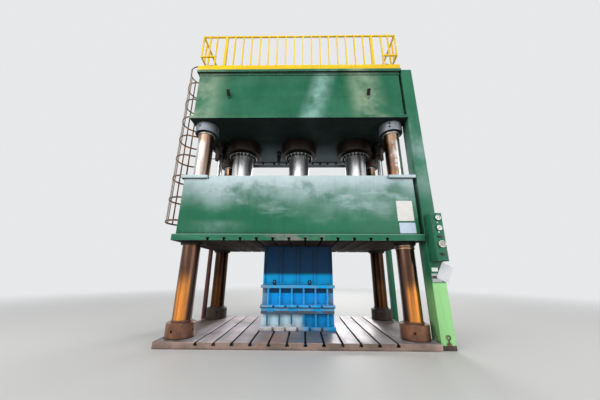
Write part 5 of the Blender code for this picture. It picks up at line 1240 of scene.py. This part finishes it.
# %% Lifting pegs
PEG_X, PEG_RISE = 1.56, 0.56
BODY_HALF_X, BODY_HALF_Y = HALF_X - 0.055, HALF_Y - 0.055
SLEEVE_RADIUS, SLEEVE_SPAN = 0.0365, (0.04, 0.1860)
CAP_RADIUS, CAP_SPAN = 0.0290, (0.1903, 0.1935)
shaded_sleeves, caps = [], []
for x in (-PEG_X, PEG_X):
    for side in (-1, 1):
        root = np.array((x, side * BODY_HALF_Y, CROWN_BOTTOM + PEG_RISE))
        way = np.array((0, side, 1)) * math.sqrt(0.5)
        for parts, radius, span in ((shaded_sleeves, SLEEVE_RADIUS, SLEEVE_SPAN), (caps, CAP_RADIUS, CAP_SPAN)):
            parts.append(swept([root + reach * way for reach in span], circle(radius, 32), (1, 0, 0)))
# Black sleeves are painted shade, bright caps a painted highlight.
piece("peg_shaded_sleeves", shaded_sleeves, bolt_black, "root", bevel=0.003)
piece("peg_lit_caps", caps, bolt_bright, "root", bevel=0.001)
print("pegs", len(caps))

# %% [markdown]
# ## Pipes under the crown
# Hydraulic presses are fed by hard pipes clipped to the beam. A thin line runs along the rear of
# the crown's underside between the barrels, with unions and clips, and a valve with its coil hangs
# beside the barrels.

# %% Pipes under the crown
LINE_Y, LINE_Z, LINE_RADIUS = 0.93, CROWN_BOTTOM - 0.036, 0.021
LINE_ENDS, UNION_X = ((-2.00, -0.02), (0.02, 2.00)), (-0.77, -0.62, -0.13, 0.62, 0.85)
CLIP_X, CLIP_HALF, CLIP_DROP, UNION_HALF = (-1.10, -0.40, 0.40, 1.10), 0.02, 0.026, 0.032
VALVES = [(-0.56, 0.30), (-1.98, -0.22), (-1.98, 0.16), (1.98, -0.22), (1.98, 0.16)]
HUNG_FROM = CROWN_BOTTOM - 0.0004
ends = np.array([(start, LINE_Y, LINE_Z) for start in np.ravel(LINE_ENDS)]).reshape(-1, 2, 3)
lines = [swept(path, circle(LINE_RADIUS, 16)) for path in ends]
drum = [(0.004, -UNION_HALF), (UNION_HALF, -UNION_HALF), (UNION_HALF, UNION_HALF), (0.004, UNION_HALF)]
drum = rounded(drum, 0.004)
unions = [turned(drum, (x, LINE_Y, LINE_Z), "X", 12) for x in UNION_X]
unions += boxes([((x - CLIP_HALF, LINE_Y - UNION_HALF, LINE_Z - CLIP_DROP),
                  (x + CLIP_HALF, LINE_Y + UNION_HALF, HUNG_FROM)) for x in CLIP_X])
piece("crown_lines", lines, panel_grey, "root")
piece("line_unions", unions, bolt_black, "root", bevel=0.002)
coil = rounded([(0.008, -0.11), (0.034, -0.11), (0.034, 0.0), (0.008, 0.0)], 0.005)
valves = []
for x, y in VALVES:
    valves += boxes([((x - 0.05, y - 0.05, HUNG_FROM - 0.20), (x + 0.05, y + 0.05, HUNG_FROM)),
                     ((x - 0.035, y - 0.075, HUNG_FROM - 0.33), (x + 0.035, y + 0.035, HUNG_FROM - 0.2004))])
    valves.append(turned(coil, (x, y - 0.0504, HUNG_FROM - 0.09), "Y", 24))
piece("crown_valves", valves, bolt_black, "root", bevel=0.003)
print("valves", len(VALVES))

# %% [markdown]
# ## Weld beads
# A welded beam is held by fillets in its inner corners. Each is a small rounded section swept
# round the body where a flange meets it, with a ripple every few millimetres along the run.

# %% Weld beads
BEAD_PACE, BEAD_LEG, CROWN_FLANGE = 0.012, 0.016, 0.065
FILLET = BEAD_LEG * np.array([(-0.15, -0.15), (1.0, -0.15), (0.62, 0.45), (0.0, 1.0), (-0.15, 1.0)])
BEAD_CORNERS = np.array([(-1, -1), (1, -1), (1, 1), (-1, 1), (-1, -1)]) * (BODY_HALF_X, BODY_HALF_Y)


def weld_run(z, up):
    """A fillet swept round the beam: the section swells and sinks as a sine along the run."""
    sides = np.linalg.norm(np.diff(BEAD_CORNERS, axis=0), axis=1)
    run, edges = np.arange(0, sides.sum(), BEAD_PACE), np.concatenate([[0], np.cumsum(sides)])
    path = np.stack([*(np.interp(run, edges, part) for part in BEAD_CORNERS.T), np.full_like(run, z)], -1)
    points, faces, ends = swept(path, FILLET * (1, up), closed=True)
    ripple = 1 + 0.12 * np.sin(run * 2 * np.pi / (2.5 * BEAD_PACE))
    grid = points.reshape(len(run), len(FILLET), 3)
    grid = path[:, None] + (grid - path[:, None]) * ripple[:, None, None]
    return grid.reshape(-1, 3), faces, ends


beads = [weld_run(CROWN_BOTTOM + CROWN_FLANGE, 1), weld_run(CROWN_TOP - CROWN_FLANGE, -1)]
piece("crown_welds", beads, crown_paint, "root")
print("weld beads", len(beads))

# %% [markdown]
# ## Floor and background
# The floor is plain and pale, at the level where the shop floor meets the bed. Beyond the press
# it fades into the background for the camera alone, so no horizon cuts across the picture.

# %% Floor and background
SHEET, FADE_FROM, FADE_TO = 45.0, 6.0, 18.0
BACKGROUND, FLOOR_COLOUR = (0.80, 0.81, 0.82), (0.63, 0.62, 0.605)
SKY, SKY_STRENGTH = (0.93, 0.97, 1.0, 1), 0.32


def shown(tree):
    """One for rays that show the background: straight from the camera, mirrored or through glass."""
    paths = add(tree, "LightPath").outputs
    mirrored = times(tree, paths["Is Glossy Ray"], paths["Is Transmission Ray"], "ADD")
    return times(tree, paths["Is Camera Ray"], mirrored, "ADD")


mesh = bpy.data.meshes.new("shop_floor")
sheet = [(x * SHEET, y * SHEET, FLOOR_Z) for x, y in ((-1, -1), (1, -1), (1, 1), (-1, 1))]
mesh.from_pydata(sheet, [], [(0, 1, 2, 3)])
floor = bpy.data.objects.new("shop_floor", mesh)
bpy.context.scene.collection.objects.link(floor)
floor_paint, tree, shader, place = begin("pale_floor", 0.55)
join(tree, shader.inputs["Base Color"], FLOOR_COLOUR)
away = add(tree, "VectorMath", {0: place}, operation="LENGTH").outputs["Value"]
far = times(tree, shown(tree), spread(tree, away, FADE_FROM, FADE_TO))
glow = add(tree, "Emission", {"Color": BACKGROUND, "Strength": 1.0})
fade = add(tree, "MixShader", {0: far, 1: shader.outputs[0], 2: glow.outputs[0]})
tree.links.new(fade.outputs[0], tree.nodes["Material Output"].inputs["Surface"])
mesh.materials.append(floor_paint)
floor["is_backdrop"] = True

world = bpy.data.worlds.new("studio")
bpy.context.scene.world = world
world.use_nodes = True
tree = world.node_tree
plain_light = tree.nodes["Background"]
plain_light.inputs["Color"].default_value = SKY
plain_light.inputs["Strength"].default_value = SKY_STRENGTH
backdrop = add(tree, "Background", {"Color": BACKGROUND, "Strength": 1.0})
behind = add(tree, "MixShader", {0: shown(tree), 1: plain_light.outputs[0], 2: backdrop.outputs[0]})
tree.links.new(behind.outputs[0], tree.nodes["World Output"].inputs["Surface"])
print("floor at", round(FLOOR_Z, 3))

# %% [markdown]
# ## Light
# Big soft lamps give the enamel and the steel broad, soft reflections, as daylight from the sides
# would. The one behind the press is strong, because its light shows as bright edges along the
# columns.

# %% Light
LAMPS = [  # name, place, aim, width, height, power
    ("lamp_left", (-8, -9, 8), (0, 0, 4), 9, 9, 660),
    ("lamp_right", (9, -8, 6), (0, 0, 4), 8, 8, 380),
    ("lamp_front", (-0.5, -13, 10.8), (0, 0, 5), 15, 6, 420),
    ("lamp_above", (0, -1, 17), (0, 0, 7), 8, 8, 600),
    ("lamp_rear", (3, 12, 9), (0, 0, 4), 7, 7, 800),
]
for name, place, aim, width, height, power in LAMPS:
    light = bpy.data.lights.new(name, "AREA")
    light.shape, light.size, light.size_y, light.energy = "ELLIPSE", width, height, power
    obj = bpy.data.objects.new(name, light)
    bpy.context.scene.collection.objects.link(obj)
    obj.location = place
    obj.rotation_euler = (Vector(aim) - Vector(place)).to_track_quat("-Z", "Y").to_euler()
    obj.visible_camera = False
bpy.context.scene.view_settings.view_transform = "Standard"
print("lamps", len(LAMPS))

# %% [markdown]
# ## The finished size
# The box of the dressed press, from every object that is shown but the floor, is printed.
# The dressed press must stay inside the box of the construction.

# %% Size and finish
low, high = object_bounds()
print("visual box", [round(v, 3) for v in (*low, *high)])
